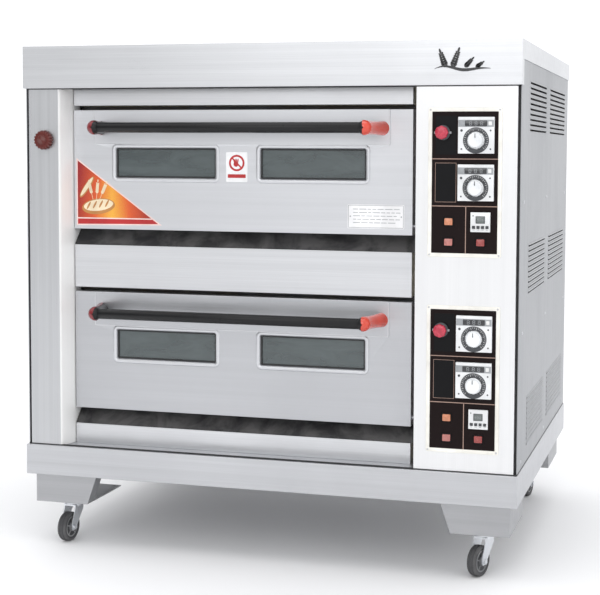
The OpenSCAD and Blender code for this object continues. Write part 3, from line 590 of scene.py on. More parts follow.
def louvre_hood(piece, y0, y1, z, x):
    """One pressed hood over the upper part of a slot, which opens downwards."""
    top, drop, out, ramp = z + SLOT_H + 2.6 * MM, 3.4 * MM, 2.1 * MM, 7 * MM
    stations = [0.0, 0.25, 0.55, 0.8, 1.0]
    shape = [(0.0, 0.0), (0.30, 0.16), (0.66, 0.42), (0.92, 0.74), (1.0, 1.0)]
    ys = [y0 + ramp * s for s in stations] + [y1 - ramp * s for s in reversed(stations)]
    grow = [math.sin(math.pi / 2 * s) ** 0.7 for s in stations]
    grow = grow + grow[::-1]
    part = bmesh.new()
    rows = []
    for y, g in zip(ys, grow):
        rows.append([part.verts.new((x + 0.25 * MM + out * g * u, y, top - drop * v)) for u, v in shape])
    for a, b in zip(rows, rows[1:]):
        for i in range(len(shape) - 1):
            part.faces.new((a[i], a[i + 1], b[i + 1], b[i]))
    for face in part.faces:
        face.smooth = True
    mesh = bpy.data.meshes.new("part")
    part.to_mesh(mesh)
    part.free()
    piece.bm.from_mesh(mesh)
    bpy.data.meshes.remove(mesh)


FRONT_Y = cap_lo.y
LOUVRE_SPANS = ((FRONT_Y + 158 * MM, 314 * MM), (FRONT_Y + 552 * MM, 352 * MM))
LOUVRE_ZS = tuple(column_hi.z - d * MM for d in (104, 497, 870))
hoods = Piece("side_louvres", "cabinet_steel", side_steel_painted_shade)
for start, length in LOUVRE_SPANS:
    for z in LOUVRE_ZS:
        for row in range(SLOT_ROWS):
            louvre_hood(hoods, start - 2 * MM, start + length + 2 * MM, z + row * SLOT_PITCH, panel_hi.x)
hoods.done(sharp=60, solid=0.0008, weighted=False)

# ---------- doors ----------

DOORS = {}
for deck in ("upper", "lower"):
    DOORS[deck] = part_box(deck + "_door_shell"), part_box(deck + "_door_handle"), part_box(deck + "_door_liner")


def window_centres():
    """Centres in X of the two windows, from the glass panes."""
    vertices = [v.co.x for v in frame["nodes"]["upper_door_glass"].data.vertices]
    middle = (min(vertices) + max(vertices)) / 2
    left = [x for x in vertices if x < middle]
    right = [x for x in vertices if x > middle]
    return (min(left) + max(left)) / 2, (min(right) + max(right)) / 2


WINDOW_XS = window_centres()
TRIM_W, TRIM_H = 291 * MM, 97 * MM


def ellipse(w, h, count=20, turn=0.0, at=(0, 0)):
    c, s = math.cos(turn), math.sin(turn)
    out = []
    for i in range(count):
        a = 2 * math.pi * i / count
        x, z = w / 2 * math.cos(a), h / 2 * math.sin(a)
        out.append((at[0] + x * c - z * s, at[1] + x * s + z * c))
    return out


def flat(piece, outline, y, material, thick=0.25 * MM):
    """A thin printed shape lying on a face that looks along -Y."""
    piece.rings([[(x, y - thick, z) for x, z in outline], [(x, y + 0.05 * MM, z) for x, z in outline]], material)


def door_details(deck):
    body = deck + "_door"
    (shell_lo, shell_hi), (bar_lo, bar_hi), (liner_lo, liner_hi) = DOORS[deck]
    low_z = shell_lo.z
    skin_y = liner_hi.y - 38 * MM
    plate_y = shell_lo.y
    centre_x = (bar_lo.x + bar_hi.x) / 2
    left_x, right_x = liner_lo.x - 2.5 * MM, liner_hi.x + 2.5 * MM
    # The lower door takes the darker steel: painted shade.
    skin_steel = door_steel if deck == "upper" else lower_door_steel_painted_shade
    reskin(deck + "_door_shell", skin_steel, "door_steel", body, 0.0030)
    reskin(deck + "_door_liner", dark_sheet, "dark_sheet", body, 0.0020)
    glass_low, glass_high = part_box(deck + "_door_glass")
    window_z = (glass_low.z + glass_high.z) / 2

    # Stamped frame round each window, with a black gasket that holds the glass
    frames = Piece(deck + "_window_frames", "door_steel", door_steel, rubber, body=body)
    for x in WINDOW_XS:
        bead = [(0, 0.2), (0.6, -0.9), (2.2, -2.0), (4.6, -2.5), (7.2, -2.2), (9.4, -0.8), (11.0, 1.8), (11.6, 5.2), (11.8, 7.6)]
        frames.frame_ring((x, window_z), TRIM_W, TRIM_H, [(i * MM, skin_y + y * MM) for i, y in bead], 15 * MM)
        lip = [(11.2, 5.6), (12.6, 5.0), (14.2, 5.2), (15.0, 6.4), (15.0, 7.8)]
        frames.frame_ring((x, window_z), TRIM_W, TRIM_H, [(i * MM, skin_y + y * MM) for i, y in lip], 15 * MM, 1)
        inner = [(7.0, 37.8), (8.0, 38.6), (11.5, 38.8), (13.6, 37.4), (13.8, 33.5)]
        frames.frame_ring((x, window_z), TRIM_W, TRIM_H, [(i * MM, skin_y + y * MM) for i, y in inner], 12 * MM, 1)
    frames.done(sharp=70, weighted=False)

    # Folded edges and rivets of the handle plate
    plate_lo_x, plate_hi_x = centre_x - 387 * MM, centre_x + 387 * MM
    plate_z0 = low_z + 217 * MM
    edge = Piece(deck + "_plate_edges", "door_steel", rail_steel, screw_steel, body=body)
    for x in (plate_lo_x, plate_hi_x):
        edge.box((x - 1.2 * MM, plate_y - 0.7 * MM, plate_z0), (x + 1.2 * MM, plate_y + 2 * MM, shell_hi.z - 2 * MM), 0.5 * MM)
    edge.box((plate_lo_x, plate_y - 0.5 * MM, plate_z0 - 0.8 * MM), (plate_hi_x, plate_y + 2 * MM, plate_z0 + 1.0 * MM), 0.4 * MM)
    for x in (left_x + 14 * MM, right_x - 14 * MM, (left_x + right_x) / 2):
        for z in (low_z + 12 * MM, shell_hi.z - 12 * MM):
            edge.screw((x, liner_hi.y, z), (0, 1, 0), 3.6 * MM, 1.6 * MM, 1)
    edge.done()

    # Handle: a gloss black bar in leaning brackets with red outer shells
    bar_z = (bar_lo.z + bar_hi.z) / 2
    bar_y = bar_lo.y + 18 * MM
    half = 338 * MM
    handle = Piece(deck + "_handle", "handle", black_gloss, red_gloss, red_painted_shade, body=body,
                   replaces=(deck + "_door_handle",))
    r = 12.8 * MM
    ends = [(r - 1.4 * MM, -half), (r, -half + 1.4 * MM), (r, half - 1.4 * MM), (r - 1.4 * MM, half)]
    handle.lathe(ends, (centre_x, bar_y, bar_z), "X", 40)
    for side in (-1, 1):
        bracket(handle, centre_x, side, bar_y, plate_y, bar_z)
    handle.done(sharp=50, weighted=False)


def bracket(piece, centre_x, side, bar_y, foot_y, z):
    """A leaning bracket: black core, and a red egg-shaped shell over its outer half; the left bracket's shell is a
    darker red, painted shade.
    """
    steps, around = 14, 28
    x_front, x_foot = 346 * MM, 368 * MM

    def ring_at(t, radius, a0, a1, count):
        lean = max(t, 0) ** 1.25
        x = centre_x + side * (x_front + (x_foot - x_front) * lean)
        y = bar_y + (foot_y - bar_y) * t
        out = []
        for i in range(count):
            a = a0 + (a1 - a0) * i / (count - 1 if a1 - a0 < 2 * math.pi - 1e-6 else count)
            out.append((x + side * radius * math.cos(a), y, z + radius * math.sin(a)))
        return out

    core = []
    shell = []
    nose = [(-0.195, 0.12), (-0.18, 0.42), (-0.15, 0.66), (-0.10, 0.86), (-0.04, 0.97)]
    spots = nose + [(k / steps, 1.0 - 0.10 * math.sin(math.pi * k / steps)) for k in range(steps + 1)]
    for t, grow in spots:
        core.append(ring_at(t, 16.4 * MM * grow, 0, 2 * math.pi, around))
        shell.append((t, 18 * MM * grow))
    piece.rings(core, 0)
    reach = math.radians(100)
    skin = []
    for t, radius in shell:
        outer = ring_at(t, radius, -reach, reach, 22)
        inner = ring_at(t, max(radius - 1.8 * MM, 0.5 * MM), -reach, reach, 22)
        skin.append(outer + inner[::-1])
    # The left shell takes the darker red: painted shade.
    piece.rings(skin, 1 if side > 0 else 2)


for deck in ("upper", "lower"):
    door_details(deck)

(shell_lo, shell_hi), (bar_lo, bar_hi), (liner_lo, liner_hi) = DOORS["upper"]

# ---------- prints on the upper door ----------

SKIN_Y = liner_hi.y - 38 * MM
STICKER = ((-516 * MM, 999 * MM), (-516 * MM, 827 * MM), (-281 * MM, 830 * MM))
sticker_lo = Vector((STICKER[0][0], 0, STICKER[1][1]))
sticker_hi = Vector((STICKER[2][0], 0, STICKER[0][1]))
sticker_ink = sticker_print("sticker_ink", sticker_lo, sticker_hi)


def inset_triangle(points, by):
    centre = Vector((sum(p[0] for p in points) / 3, sum(p[1] for p in points) / 3))
    a, b, c = (Vector(p) for p in points)
    area = abs((b - a).cross(c - a)) / 2
    rim = (a - b).length + (b - c).length + (c - a).length
    inradius = 2 * area / rim
    heart = (a * (b - c).length + b * (c - a).length + c * (a - b).length) / rim
    k = 1 - by / inradius
    return [tuple(heart + (Vector(p) - heart) * k) for p in points]


def wheat_ear(piece, x, z, length, turn, y, material, grains=7, width=5.4 * MM):
    """A generic ear of wheat: a stalk with grains in pairs and one at the tip."""
    along = Vector((math.sin(turn), math.cos(turn)))
    across = Vector((along.y, -along.x))
    start = Vector((x, z))
    tip = start + along * length
    edge = across * 0.5 * MM
    flat(piece, [tuple(start - edge), tuple(start + edge), tuple(tip + edge), tuple(tip - edge)], y, material)
    for k in range(grains):
        at = start + along * length * (0.42 + 0.55 * k / grains)
        for side in (-1, 1):
            centre = at + across * side * width * 0.42
            lean = math.pi / 2 - turn - side * math.radians(28)
            flat(piece, ellipse(width * 1.25, width * 0.5, 12, lean, tuple(centre)), y, material)
    flat(piece, ellipse(width * 1.4, width * 0.55, 12, math.pi / 2 - turn, tuple(tip + along * width * 0.4)), y, material)


sticker = Piece("door_sticker", "knob_red", print_pink, sticker_ink, print_red, print_cream, print_crust, body="upper_door")
flat(sticker, STICKER, SKIN_Y, 0, 0.25 * MM)
inner = inset_triangle(STICKER, 3.2 * MM)
flat(sticker, inner, SKIN_Y, 1, 0.34 * MM)
band_top = STICKER[1][1] + 17 * MM
slope = (inner[0][0] - inner[2][0]) / (inner[0][1] - inner[2][1])


def slant_x(z):
    return inner[2][0] + (z - inner[2][1]) * slope


left_edge = inner[1][0]
flat(sticker, [(left_edge, inner[1][1]), (inner[2][0], inner[2][1]), (slant_x(band_top), band_top), (left_edge, band_top)],
     SKIN_Y, 2, 0.42 * MM)
flat(sticker, [(left_edge, band_top), (slant_x(band_top), band_top), (slant_x(band_top + 3 * MM), band_top + 3 * MM),
               (left_edge, band_top + 3 * MM)], SKIN_Y, 0, 0.46 * MM)
loaf_y = SKIN_Y
flat(sticker, ellipse(92 * MM, 40 * MM, 28, 0.12, (-455 * MM, 876 * MM)), loaf_y, 4, 0.50 * MM)
flat(sticker, ellipse(82 * MM, 29 * MM, 28, 0.12, (-455 * MM, 879 * MM)), loaf_y, 3, 0.58 * MM)
for k in range(4):
    flat(sticker, ellipse(5 * MM, 22 * MM, 14, -0.5, (-482 * MM + k * 17 * MM, 878 * MM + k * 2 * MM)), loaf_y, 4, 0.66 * MM)
flat(sticker, ellipse(66 * MM, 15 * MM, 24, 0.95, (-487 * MM, 925 * MM)), loaf_y, 4, 0.50 * MM)
flat(sticker, ellipse(58 * MM, 10 * MM, 24, 0.95, (-487.5 * MM, 926 * MM)), loaf_y, 3, 0.58 * MM)
for k, lean in enumerate((-0.25, 0.1, 0.42)):
    wheat_ear(sticker, (-470 + 9 * k) * MM, 893 * MM, 46 * MM, lean, loaf_y - 0.4 * MM, 3)
sticker.done(sharp=30, weighted=False)

# Round ring with a bar across, and a plain bar under it
sign = Piece("door_sign", "button_red", label_white, print_red, body="upper_door")
SIGN = (-80.5 * MM, 989 * MM)
flat(sign, [(SIGN[0] + x, SIGN[1] - 10 * MM + z) for x, z in rounded_outline(56 * MM, 74 * MM, 3 * MM)], SKIN_Y, 0, 0.2 * MM)
sign.frame_ring(SIGN, 41 * MM, 41 * MM, [(0, SKIN_Y), (0, SKIN_Y - 0.4 * MM), (5 * MM, SKIN_Y - 0.4 * MM), (5 * MM, SKIN_Y)], 20.5 * MM, 1)
bar_turn = Matrix.Translation((SIGN[0], 0, SIGN[1])) @ Matrix.Rotation(math.radians(45), 4, "Y")
sign.box((-18 * MM, SKIN_Y - 0.42 * MM, -2 * MM), (18 * MM, SKIN_Y, 2 * MM), 0, 1, turn=bar_turn)
flat(sign, ellipse(13 * MM, 13 * MM, 16, 0, (SIGN[0] - 2 * MM, SIGN[1] - 3 * MM)), SKIN_Y, 1, 0.34 * MM)
for k in range(4):
    flat(sign, ellipse(3 * MM, 12 * MM, 10, 0.15 - 0.1 * k, (SIGN[0] - 7 * MM + 3.4 * MM * k, SIGN[1] + 5 * MM)), SKIN_Y, 1, 0.34 * MM)
flat(sign, [(SIGN[0] + x, 956.5 * MM + z) for x, z in rounded_outline(47 * MM, 9 * MM, 1 * MM)], SKIN_Y, 1, 0.36 * MM)
sign.done(sharp=30, weighted=False)

# Pale plate with blank ruled lines and two fixing dots
info = Piece("door_info_plate", "control_white", label_white, print_grey, body="upper_door")
INFO_LO, INFO_HI = Vector((205 * MM, 0, 833 * MM)), Vector((346 * MM, 0, 891 * MM))
info_mid = ((INFO_LO.x + INFO_HI.x) / 2, (INFO_LO.z + INFO_HI.z) / 2)
info_w, info_h = INFO_HI.x - INFO_LO.x, INFO_HI.z - INFO_LO.z
flat(info, [(info_mid[0] + x, info_mid[1] + z) for x, z in rounded_outline(info_w, info_h, 2 * MM)], SKIN_Y, 0, 0.3 * MM)
info.frame_ring(info_mid, info_w - 3 * MM, info_h - 3 * MM,
                [(0, SKIN_Y - 0.2 * MM), (0, SKIN_Y - 0.42 * MM), (1.1 * MM, SKIN_Y - 0.42 * MM), (1.1 * MM, SKIN_Y - 0.2 * MM)], 1.5 * MM, 1)
for row in range(5):
    z = INFO_HI.z - (12 + 8.2 * row) * MM
    x = INFO_LO.x + 14 * MM
    while x < INFO_HI.x - 20 * MM:
        run = random.uniform(7, 20) * MM
        flat(info, [(x, z), (x + run, z), (x + run, z + 1.5 * MM), (x, z + 1.5 * MM)], SKIN_Y, 1, 0.4 * MM)
        x += run + 3 * MM
for x in (INFO_LO.x + 7 * MM, INFO_HI.x - 7 * MM):
    flat(info, ellipse(3.4 * MM, 3.4 * MM, 12, 0, (x, info_mid[1])), SKIN_Y, 1, 0.7 * MM)
info.done(sharp=30, weighted=False)

# ---------- badge on the cap ----------

badge = Piece("cap_badge", "control_black", badge_black, screw_steel)
BADGE = (495 * MM, 1232 * MM)
face = cap_lo.y


def relief(piece, outline, depth, material=0):
    """A raised emblem part on the cap's front."""
    piece.rings([[(x, face - depth, z) for x, z in outline], [(x, face + 0.1 * MM, z) for x, z in outline]], material)


swoosh = []
for k in range(21):
    t = k / 20
    swoosh.append((BADGE[0] - 66 * MM + 132 * MM * t, BADGE[1] - 20 * MM + 7 * MM * math.sin(2.6 * t * math.pi) * (1 - t)))
width = [(0.4 + 3.2 * math.sin(math.pi * k / 20)) * MM for k in range(21)]
relief(badge, [(x, z - w) for (x, z), w in zip(swoosh, width)] + [(x, z + w) for (x, z), w in reversed(list(zip(swoosh, width)))], 1.6 * MM)


def badge_ear(x, z, length, turn, grain):
    along = Vector((math.sin(turn), math.cos(turn)))
    across = Vector((along.y, -along.x))
    start = Vector((x, z))
    for k in range(6):
        at = start + along * length * (k + 1) / 6.5
        size = grain * (1 - 0.06 * k)
        for side in (-1, 1):
            lean = math.pi / 2 - turn - side * math.radians(30)
            relief(badge, ellipse(size * 1.5, size * 0.62, 14, lean, tuple(at + across * side * size * 0.42)), 1.8 * MM)
    relief(badge, ellipse(grain * 1.5, grain * 0.6, 14, math.pi / 2 - turn, tuple(start + along * (length + grain * 0.5))), 1.8 * MM)


badge_ear(BADGE[0] - 40 * MM, BADGE[1] - 16 * MM, 34 * MM, -0.35, 9 * MM)
badge_ear(BADGE[0] - 24 * MM, BADGE[1] - 17 * MM, 38 * MM, 0.35, 9 * MM)
badge_ear(BADGE[0] + 6 * MM, BADGE[1] - 16 * MM, 22 * MM, 0.75, 7 * MM)
badge_ear(BADGE[0] + 32 * MM, BADGE[1] - 17 * MM, 16 * MM, 0.95, 6 * MM)
badge.done(sharp=30, weighted=False)

# ---------- vent knob ----------

knob_lo, knob_hi = limits("vent_knob")
knob_x, knob_z = (knob_lo.x + knob_hi.x) / 2, (knob_lo.z + knob_hi.z) / 2
knob = Piece("vent_knob_grip", "knob_red", knob_red, body="vent", replaces=("vent_knob",))
back = knob_hi.y
knob.lathe([(23 * MM, back), (23.6 * MM, back - 2 * MM), (23.2 * MM, back - 11 * MM), (21.6 * MM, back - 14 * MM),
            (18.5 * MM, back - 15.4 * MM), (14 * MM, back - 15.6 * MM), (12 * MM, back - 17.4 * MM),
            (7 * MM, back - 18.6 * MM), (0, back - 18.8 * MM)], (knob_x, 0, knob_z), "Y", 144, 0, 18, 1.3 * MM)
knob.done(sharp=34, weighted=False)

# ---------- control panels ----------

PLATE_X0, PLATE_X1 = plates_lo.x, plates_hi.x
PLATE_W, PLATE_H = PLATE_X1 - PLATE_X0, 347 * MM
PLATE_TOPS = {"upper": plates_hi.z, "lower": plates_lo.z + PLATE_H}
ROW_H, BORDER = 110.3 * MM, 8 * MM
DIAL_X = PLATE_X0 + 113 * MM


def row_middle(top, row):
    return top - BORDER - (row + 0.5) * ROW_H


for node, fold in (("temperature_controllers", 0.0012), ("timers", 0.0008)):
    reskin(node, white_plastic, "control_white", fold=fold)
dress("control_plates", panel_black)


def slab(piece, x0, x1, z0, z1, proud, material, bevel=0.0, base=PLATE_Y):
    piece.box((x0, base - proud, z0), (x1, base + 0.2 * MM, z1), bevel, material)


def panel_details(deck):
    top = PLATE_TOPS[deck]
    low = top - PLATE_H
    y = PLATE_Y
    middle = ((PLATE_X0 + PLATE_X1) / 2, (top + low) / 2)
    print_work = Piece(deck + "_panel_print", "control_black", panel_cream, panel_gold, panel_window, screw_steel)
    border = [(-1.2, 3.0), (-1.2, 0.2), (-0.6, -0.9), (0.6, -1.2), (6.2, -1.2), (7.4, -0.8), (8.0, 0.1)]
    print_work.frame_ring(middle, PLATE_W, PLATE_H, [(i * MM, y + d * MM) for i, d in border], 3 * MM, 0)
    inner_x0, inner_x1 = PLATE_X0 + BORDER, PLATE_X1 - BORDER
    for row in (1, 2):
        z = top - BORDER - row * ROW_H
        slab(print_work, inner_x0, inner_x1, z - 0.9 * MM, z + 0.9 * MM, 0.5 * MM, 1)
    split_x = 505 * MM
    row3_top = top - BORDER - 2 * ROW_H
    slab(print_work, split_x - 0.9 * MM, split_x + 0.9 * MM, low + BORDER, row3_top, 0.5 * MM, 1)
    for row in (0, 1):
        z = row_middle(top, row)
        for k, (w, h, proud, material) in enumerate(((50, 92, 0.35, 1), (48.4, 90.4, 0.5, 2))):
            if row == 0 and k == 0:
                continue
            slab(print_work, 456.5 * MM - w / 2 * MM, 456.5 * MM + w / 2 * MM, z - h / 2 * MM, z + h / 2 * MM, proud * MM, material)
    for x in (PLATE_X0 + 4 * MM, PLATE_X1 - 4 * MM):
        for z in (low + 4 * MM, top - 4 * MM):
            print_work.screw((x, y - 1.2 * MM, z), (0, -1, 0), 2.4 * MM, 1.0 * MM, 3)
    print_work.done(sharp=40)

    # Faces of the temperature controllers
    face_y = y - 8 * MM
    dials = Piece(deck + "_controller_faces", "control_white", dark_plastic, display_glass, print_white, grey_plastic)
    for row in (0, 1):
        z = row_middle(top, row)
        band_z = z + 27.5 * MM
        dials.box((DIAL_X - 41.6 * MM, face_y - 0.5 * MM, band_z - 8 * MM),
                  (DIAL_X + 41.6 * MM, face_y + 0.1 * MM, band_z + 8 * MM), 0.2 * MM, 3)
        dials.plate(rounded_outline(52 * MM, 13.6 * MM, 1.5 * MM), (DIAL_X, band_z), face_y - 1.2 * MM, face_y, 0.5 * MM, 1)
        for k in range(3):
            seven_segments(dials, DIAL_X + (-13 + 13 * k) * MM, band_z, face_y - 1.3 * MM, 3)
        for x in (-33, 33):
            dials.plate(rounded_outline(8 * MM, 9 * MM, 1.5 * MM), (DIAL_X + x * MM, band_z),
                        face_y - 0.9 * MM, face_y, 0.3 * MM, 2 if x > 0 else 3)
        knob_z = z - 12 * MM
        dials.lathe([(21 * MM, face_y), (21 * MM, face_y - 0.7 * MM), (22 * MM, face_y - 1.3 * MM), (29 * MM, face_y - 1.3 * MM),
                     (30 * MM, face_y - 0.7 * MM), (30.4 * MM, face_y)], (DIAL_X, 0, knob_z), "Y", 64, 0)
        for k in range(28):
            a = math.radians(-135 + 10 * k)
            turn = Matrix.Translation((DIAL_X, 0, knob_z)) @ Matrix.Rotation(a, 4, "Y")
            long = k % 3 == 0
            dials.box((-0.35 * MM, face_y - 1.55 * MM, (23 if long else 25.5) * MM), (0.35 * MM, face_y - 1.2 * MM, 28.4 * MM), 0, 2, turn=turn)
        for sx, sz in ((-1, 1), (1, 1), (-1, -1), (1, -1)):
            spot = (DIAL_X + sx * 34 * MM, 0, knob_z + (sz * 21.5 + 1.5) * MM)
            size = 3.0 if (sx, sz) == (-1, 1) else 2.0
            dials.lathe([(size * MM, face_y), (size * 0.9 * MM, face_y - 0.6 * MM), (0, face_y - 0.8 * MM)], spot, "Y", 16, 0)
    dials.done(sharp=35, weighted=False)

    # Face of the timer
    timer_z = row3_top - 36.5 * MM
    tx = PLATE_X0 + 125 * MM
    ty = y - 6 * MM
    faces = Piece(deck + "_timer_face", "control_white", dark_plastic, lcd_glass, print_grey)
    lcd_z = timer_z + 5.5 * MM
    faces.plate(rounded_outline(22 * MM, 17 * MM, 1.2 * MM), (tx, lcd_z), ty - 0.7 * MM, ty, 0.4 * MM, 0)
    faces.plate(rounded_outline(19 * MM, 14 * MM, 0.8 * MM), (tx, lcd_z), ty - 1.0 * MM, ty, 0.3 * MM, 1)
    for k in range(3):
        seven_segments(faces, tx + (-5.4 + 5.4 * k) * MM, lcd_z, ty - 1.1 * MM, 2, 0.56)
    faces.lathe([(1.4 * MM, ty), (1.2 * MM, ty - 0.6 * MM), (0, ty - 0.7 * MM)], (tx - 17 * MM, 0, timer_z + 15 * MM), "Y", 14, 0)
    for k in range(4):
        kx = tx + (k - 1.5) * 10.5 * MM
        faces.box((kx - 2.6 * MM, ty - 0.25 * MM, timer_z - 18.4 * MM), (kx + 2.6 * MM, ty + 0.1 * MM, timer_z - 17.6 * MM), 0, 2)
    faces.done(sharp=35, weighted=False)
    for k in range(4):
        node = f"{deck}_timer_key_{k + 1}"
        key_lo, key_hi = limits(node)
        key = Piece(node + "_cap", "key_grey", dark_plastic, body=node, replaces=(node,))
        mid = ((key_lo.x + key_hi.x) / 2, (key_lo.z + key_hi.z) / 2)
        key.plate(rounded_outline(key_hi.x - key_lo.x, key_hi.z - key_lo.z, 1.4 * MM), mid, key_lo.y, key_hi.y, 0.6 * MM)
        key.done()

    # Knobs of the temperature controllers
    for name in ("top_heat", "bottom_heat"):
        node = f"{deck}_{name}_knob"
        lo, hi = limits(node)
        cx, cz = (lo.x + hi.x) / 2, (lo.z + hi.z) / 2
        front, rear = lo.y + 3 * MM, lo.y + 17 * MM
        cap = Piece(node + "_cap", "control_white", knob_white, dark_plastic, body=node, replaces=(node,))
        cap.lathe([(19 * MM, rear), (19 * MM, rear - 1.6 * MM), (17.6 * MM, rear - 2.4 * MM), (17.0 * MM, front + 3 * MM),
                   (16.2 * MM, front + 1 * MM), (14.4 * MM, front), (11.5 * MM, front + 0.5 * MM), (6 * MM, front + 1.6 * MM), (0, front + 2 * MM)],
                  (cx, 0, cz), "Y", 96, 0, 24, 0.28 * MM)
        cap.box((cx - 0.8 * MM, front - 0.5 * MM, cz + 6 * MM), (cx + 0.8 * MM, front + 2 * MM, cz + 15.6 * MM), 0.3 * MM, 1)
        cap.lathe([(3 * MM, rear - 1 * MM), (3 * MM, hi.y)], (cx, 0, cz), "Y", 20, 1)
        cap.done(sharp=34, weighted=False)

    # Lit square switches in black surrounds
    surrounds = Piece(deck + "_switch_surrounds", "control_black", panel_window, dark_plastic, grey_plastic)
    for name in ("top_heat", "bottom_heat", "alarm"):
        node = f"{deck}_{name}_switch"
        lo, hi = limits(node)
        mid = ((lo.x + hi.x) / 2, (lo.z + hi.z) / 2)
        w, h = hi.x - lo.x, hi.z - lo.z
        button = Piece(node + "_cap", "switch_red", switch_inks[name], body=node, replaces=(node,))
        button.plate(rounded_outline(w, h, 2 * MM), mid, lo.y + 0.6 * MM, hi.y, 1.0 * MM)
        button.plate(rounded_outline(w - 7 * MM, h - 7 * MM, 1.5 * MM), mid, lo.y, lo.y + 2 * MM, 0.5 * MM)
        button.done(sharp=35, weighted=False)
        ring = [(0, 0.1), (0.2, -1.6), (1.0, -2.2), (2.2, -2.2), (2.6, -1.4), (2.6, 1.0)]
        surrounds.frame_ring(mid, w + 6 * MM, h + 6 * MM, [(i * MM, y + d * MM) for i, d in ring], 3 * MM, 0)

    # Mushroom stop button with its collar
    node = deck + "_stop_button"
    lo, hi = limits(node)
    cx, cz = (lo.x + hi.x) / 2, (lo.z + hi.z) / 2
    collar = [(17.5, 0.1), (17.5, -2.0), (16.4, -3.2), (13.5, -3.8), (10.5, -5.4), (8.6, -5.4), (8.6, 0)]
    surrounds.lathe([(r * MM, y + d * MM) for r, d in collar], (cx, 0, cz), "Y", 48, 1)
    for side in (-1, 1):
        x0, x1 = sorted((cx + side * 15.5 * MM, cx + side * 20.5 * MM))
        surrounds.box((x0, y - 3.4 * MM, cz - 2.6 * MM), (x1, y + 0.1 * MM, cz + 2.6 * MM), 0.8 * MM, 2)
    surrounds.done(sharp=40, weighted=False)
    # The stop button's cap glows without a lamp: painted light.
    stop = Piece(node + "_cap", "button_red", stop_red_painted_glow, dark_plastic, body=node, replaces=(node,))
    face = lo.y
    mushroom = [(8, 12), (14.0, 12), (15.2, 10.6), (15.5, 4.6), (14.6, 2.2), (11.8, 0.6), (6.2, 0), (0, 0)]
    stop.lathe([(r * MM, face + d * MM) for r, d in mushroom], (cx, 0, cz), "Y", 96, 0, 8, 0.45 * MM)
    stop.lathe([(7.9 * MM, face + 11 * MM), (7.9 * MM, hi.y)], (cx, 0, cz), "Y", 28, 1)
    stop.done(sharp=36, weighted=False)


SEGMENTS = ((0, 1, 1), (0, 0, 1), (0, -1, 1), (-1, 0.5, 0), (1, 0.5, 0), (-1, -0.5, 0), (1, -0.5, 0))


def seven_segments(piece, x, z, y, material, size=1.0):
    """An unlit digit of a display: seven faint bars."""
    w, h, t = 2.6 * MM * size, 4.0 * MM * size, 0.45 * MM * size
    for sx, sz, lying in SEGMENTS:
        cx, cz = x + sx * w, z + sz * h
        half_w, half_h = (w * 0.8, t) if lying else (t, h * 0.4)
        piece.box((cx - half_w, y, cz - half_h), (cx + half_w, y + 0.2 * MM, cz + half_h), 0, material)


for deck in ("upper", "lower"):
    panel_details(deck)

# ---------- legs, casters ----------

reskin("caster_plates", zinc, "zinc", fold=0.0010)
for corner in ("front_left", "front_right", "rear_left", "rear_right"):
    reskin("fork_" + corner, zinc, "zinc", "fork_" + corner, fold=0.0006)


def joint_of(child):
    return next(j for j in frame["joints"] if j["child"] == child)


def wheel(corner):
    """A rubber tread with grooves on a ribbed hub, round the axle."""
    node = "wheel_" + corner
    joint = joint_of(node)
    centre, axis = Vector(joint["pos_m"]), Vector(joint["axis"]).normalized()
    turn = Matrix.Translation(centre) @ Vector((1, 0, 0)).rotation_difference(axis).to_matrix().to_4x4()
    made = Piece(node + "_tyre", "tread", tread, hub_plastic, zinc, body=node, replaces=(node,))
    tyre = [(26, -9.5), (29, -12), (32.5, -12.4), (35.2, -11.4), (36.8, -9), (37.3, -5.6), (36.7, -5.0), (36.7, -4.2),
            (37.45, -3.6), (37.5, 0), (37.45, 3.6), (36.7, 4.2), (36.7, 5.0), (37.3, 5.6), (36.8, 9), (35.2, 11.4), (32.5, 12.4), (29, 12), (26, 9.5)]
    made.lathe([(r * MM, x * MM) for r, x in tyre], (0, 0, 0), "X", 72, 0, turn=turn)
    for side in (-1, 1):
        hub = [(27, 9.0), (26.4, 10.6), (23.5, 10.8), (22, 8.4), (14, 7.6), (12.6, 9.0), (11.8, 13.2), (9.8, 13.5), (4.4, 13.5), (4.4, 9)]
        made.lathe([(r * MM, side * x * MM) for r, x in hub], (0, 0, 0), "X", 48, 1, turn=turn)
        for k in range(5):
            spoke = turn @ Matrix.Rotation(math.radians(72 * k), 4, "X")
            low, high = sorted((side * 7.6 * MM, side * 10.2 * MM))
            made.box((low, -1.6 * MM, 12 * MM), (high, 1.6 * MM, 24 * MM), 0.6 * MM, 1, turn=spoke)
    made.done(sharp=34, weighted=False)


for corner in ("front_left", "front_right", "rear_left", "rear_right"):
    wheel(corner)

# ---------- back, top and inside ----------

reskin("terminal_box", dark_sheet, "dark_sheet", fold=0.0025)
gland_x, gland_z = (box_lo.x + box_hi.x) / 2, (box_lo.z + box_hi.z) / 2
rear = Piece("rear_fittings", "dark_sheet", black_gloss, screw_steel, label_white, print_grey)
gland_y = box_hi.y
nut = [(0, 0.1), (18.5, 0.1), (19, 0.8), (19, 7.4), (18.4, 8)]
rear.lathe([(17.6 * MM, gland_y - 15.8 * MM), (19.4 * MM, gland_y - 15.4 * MM), (19.4 * MM, gland_y - 9.4 * MM), (17.2 * MM, gland_y - 8.8 * MM)],
           (gland_x, 0, gland_z), "Y", 6, 0)
dome = [(16.9, -8.8), (17.0, -6.0), (16.2, -2.4), (14.0, -0.6), (11.6, 0.0), (11.4, -1.0), (11.4, -8.8)]
rear.lathe([(r * MM, gland_y + d * MM) for r, d in dome], (gland_x, 0, gland_z), "Y", 40, 0)
for sx in (-1, 1):
    for sz in (-1, 1):
        rear.screw((gland_x + sx * 64 * MM, gland_y - 16 * MM, gland_z + sz * 44 * MM), (0, 1, 0), 4 * MM, 1.8 * MM, 1)
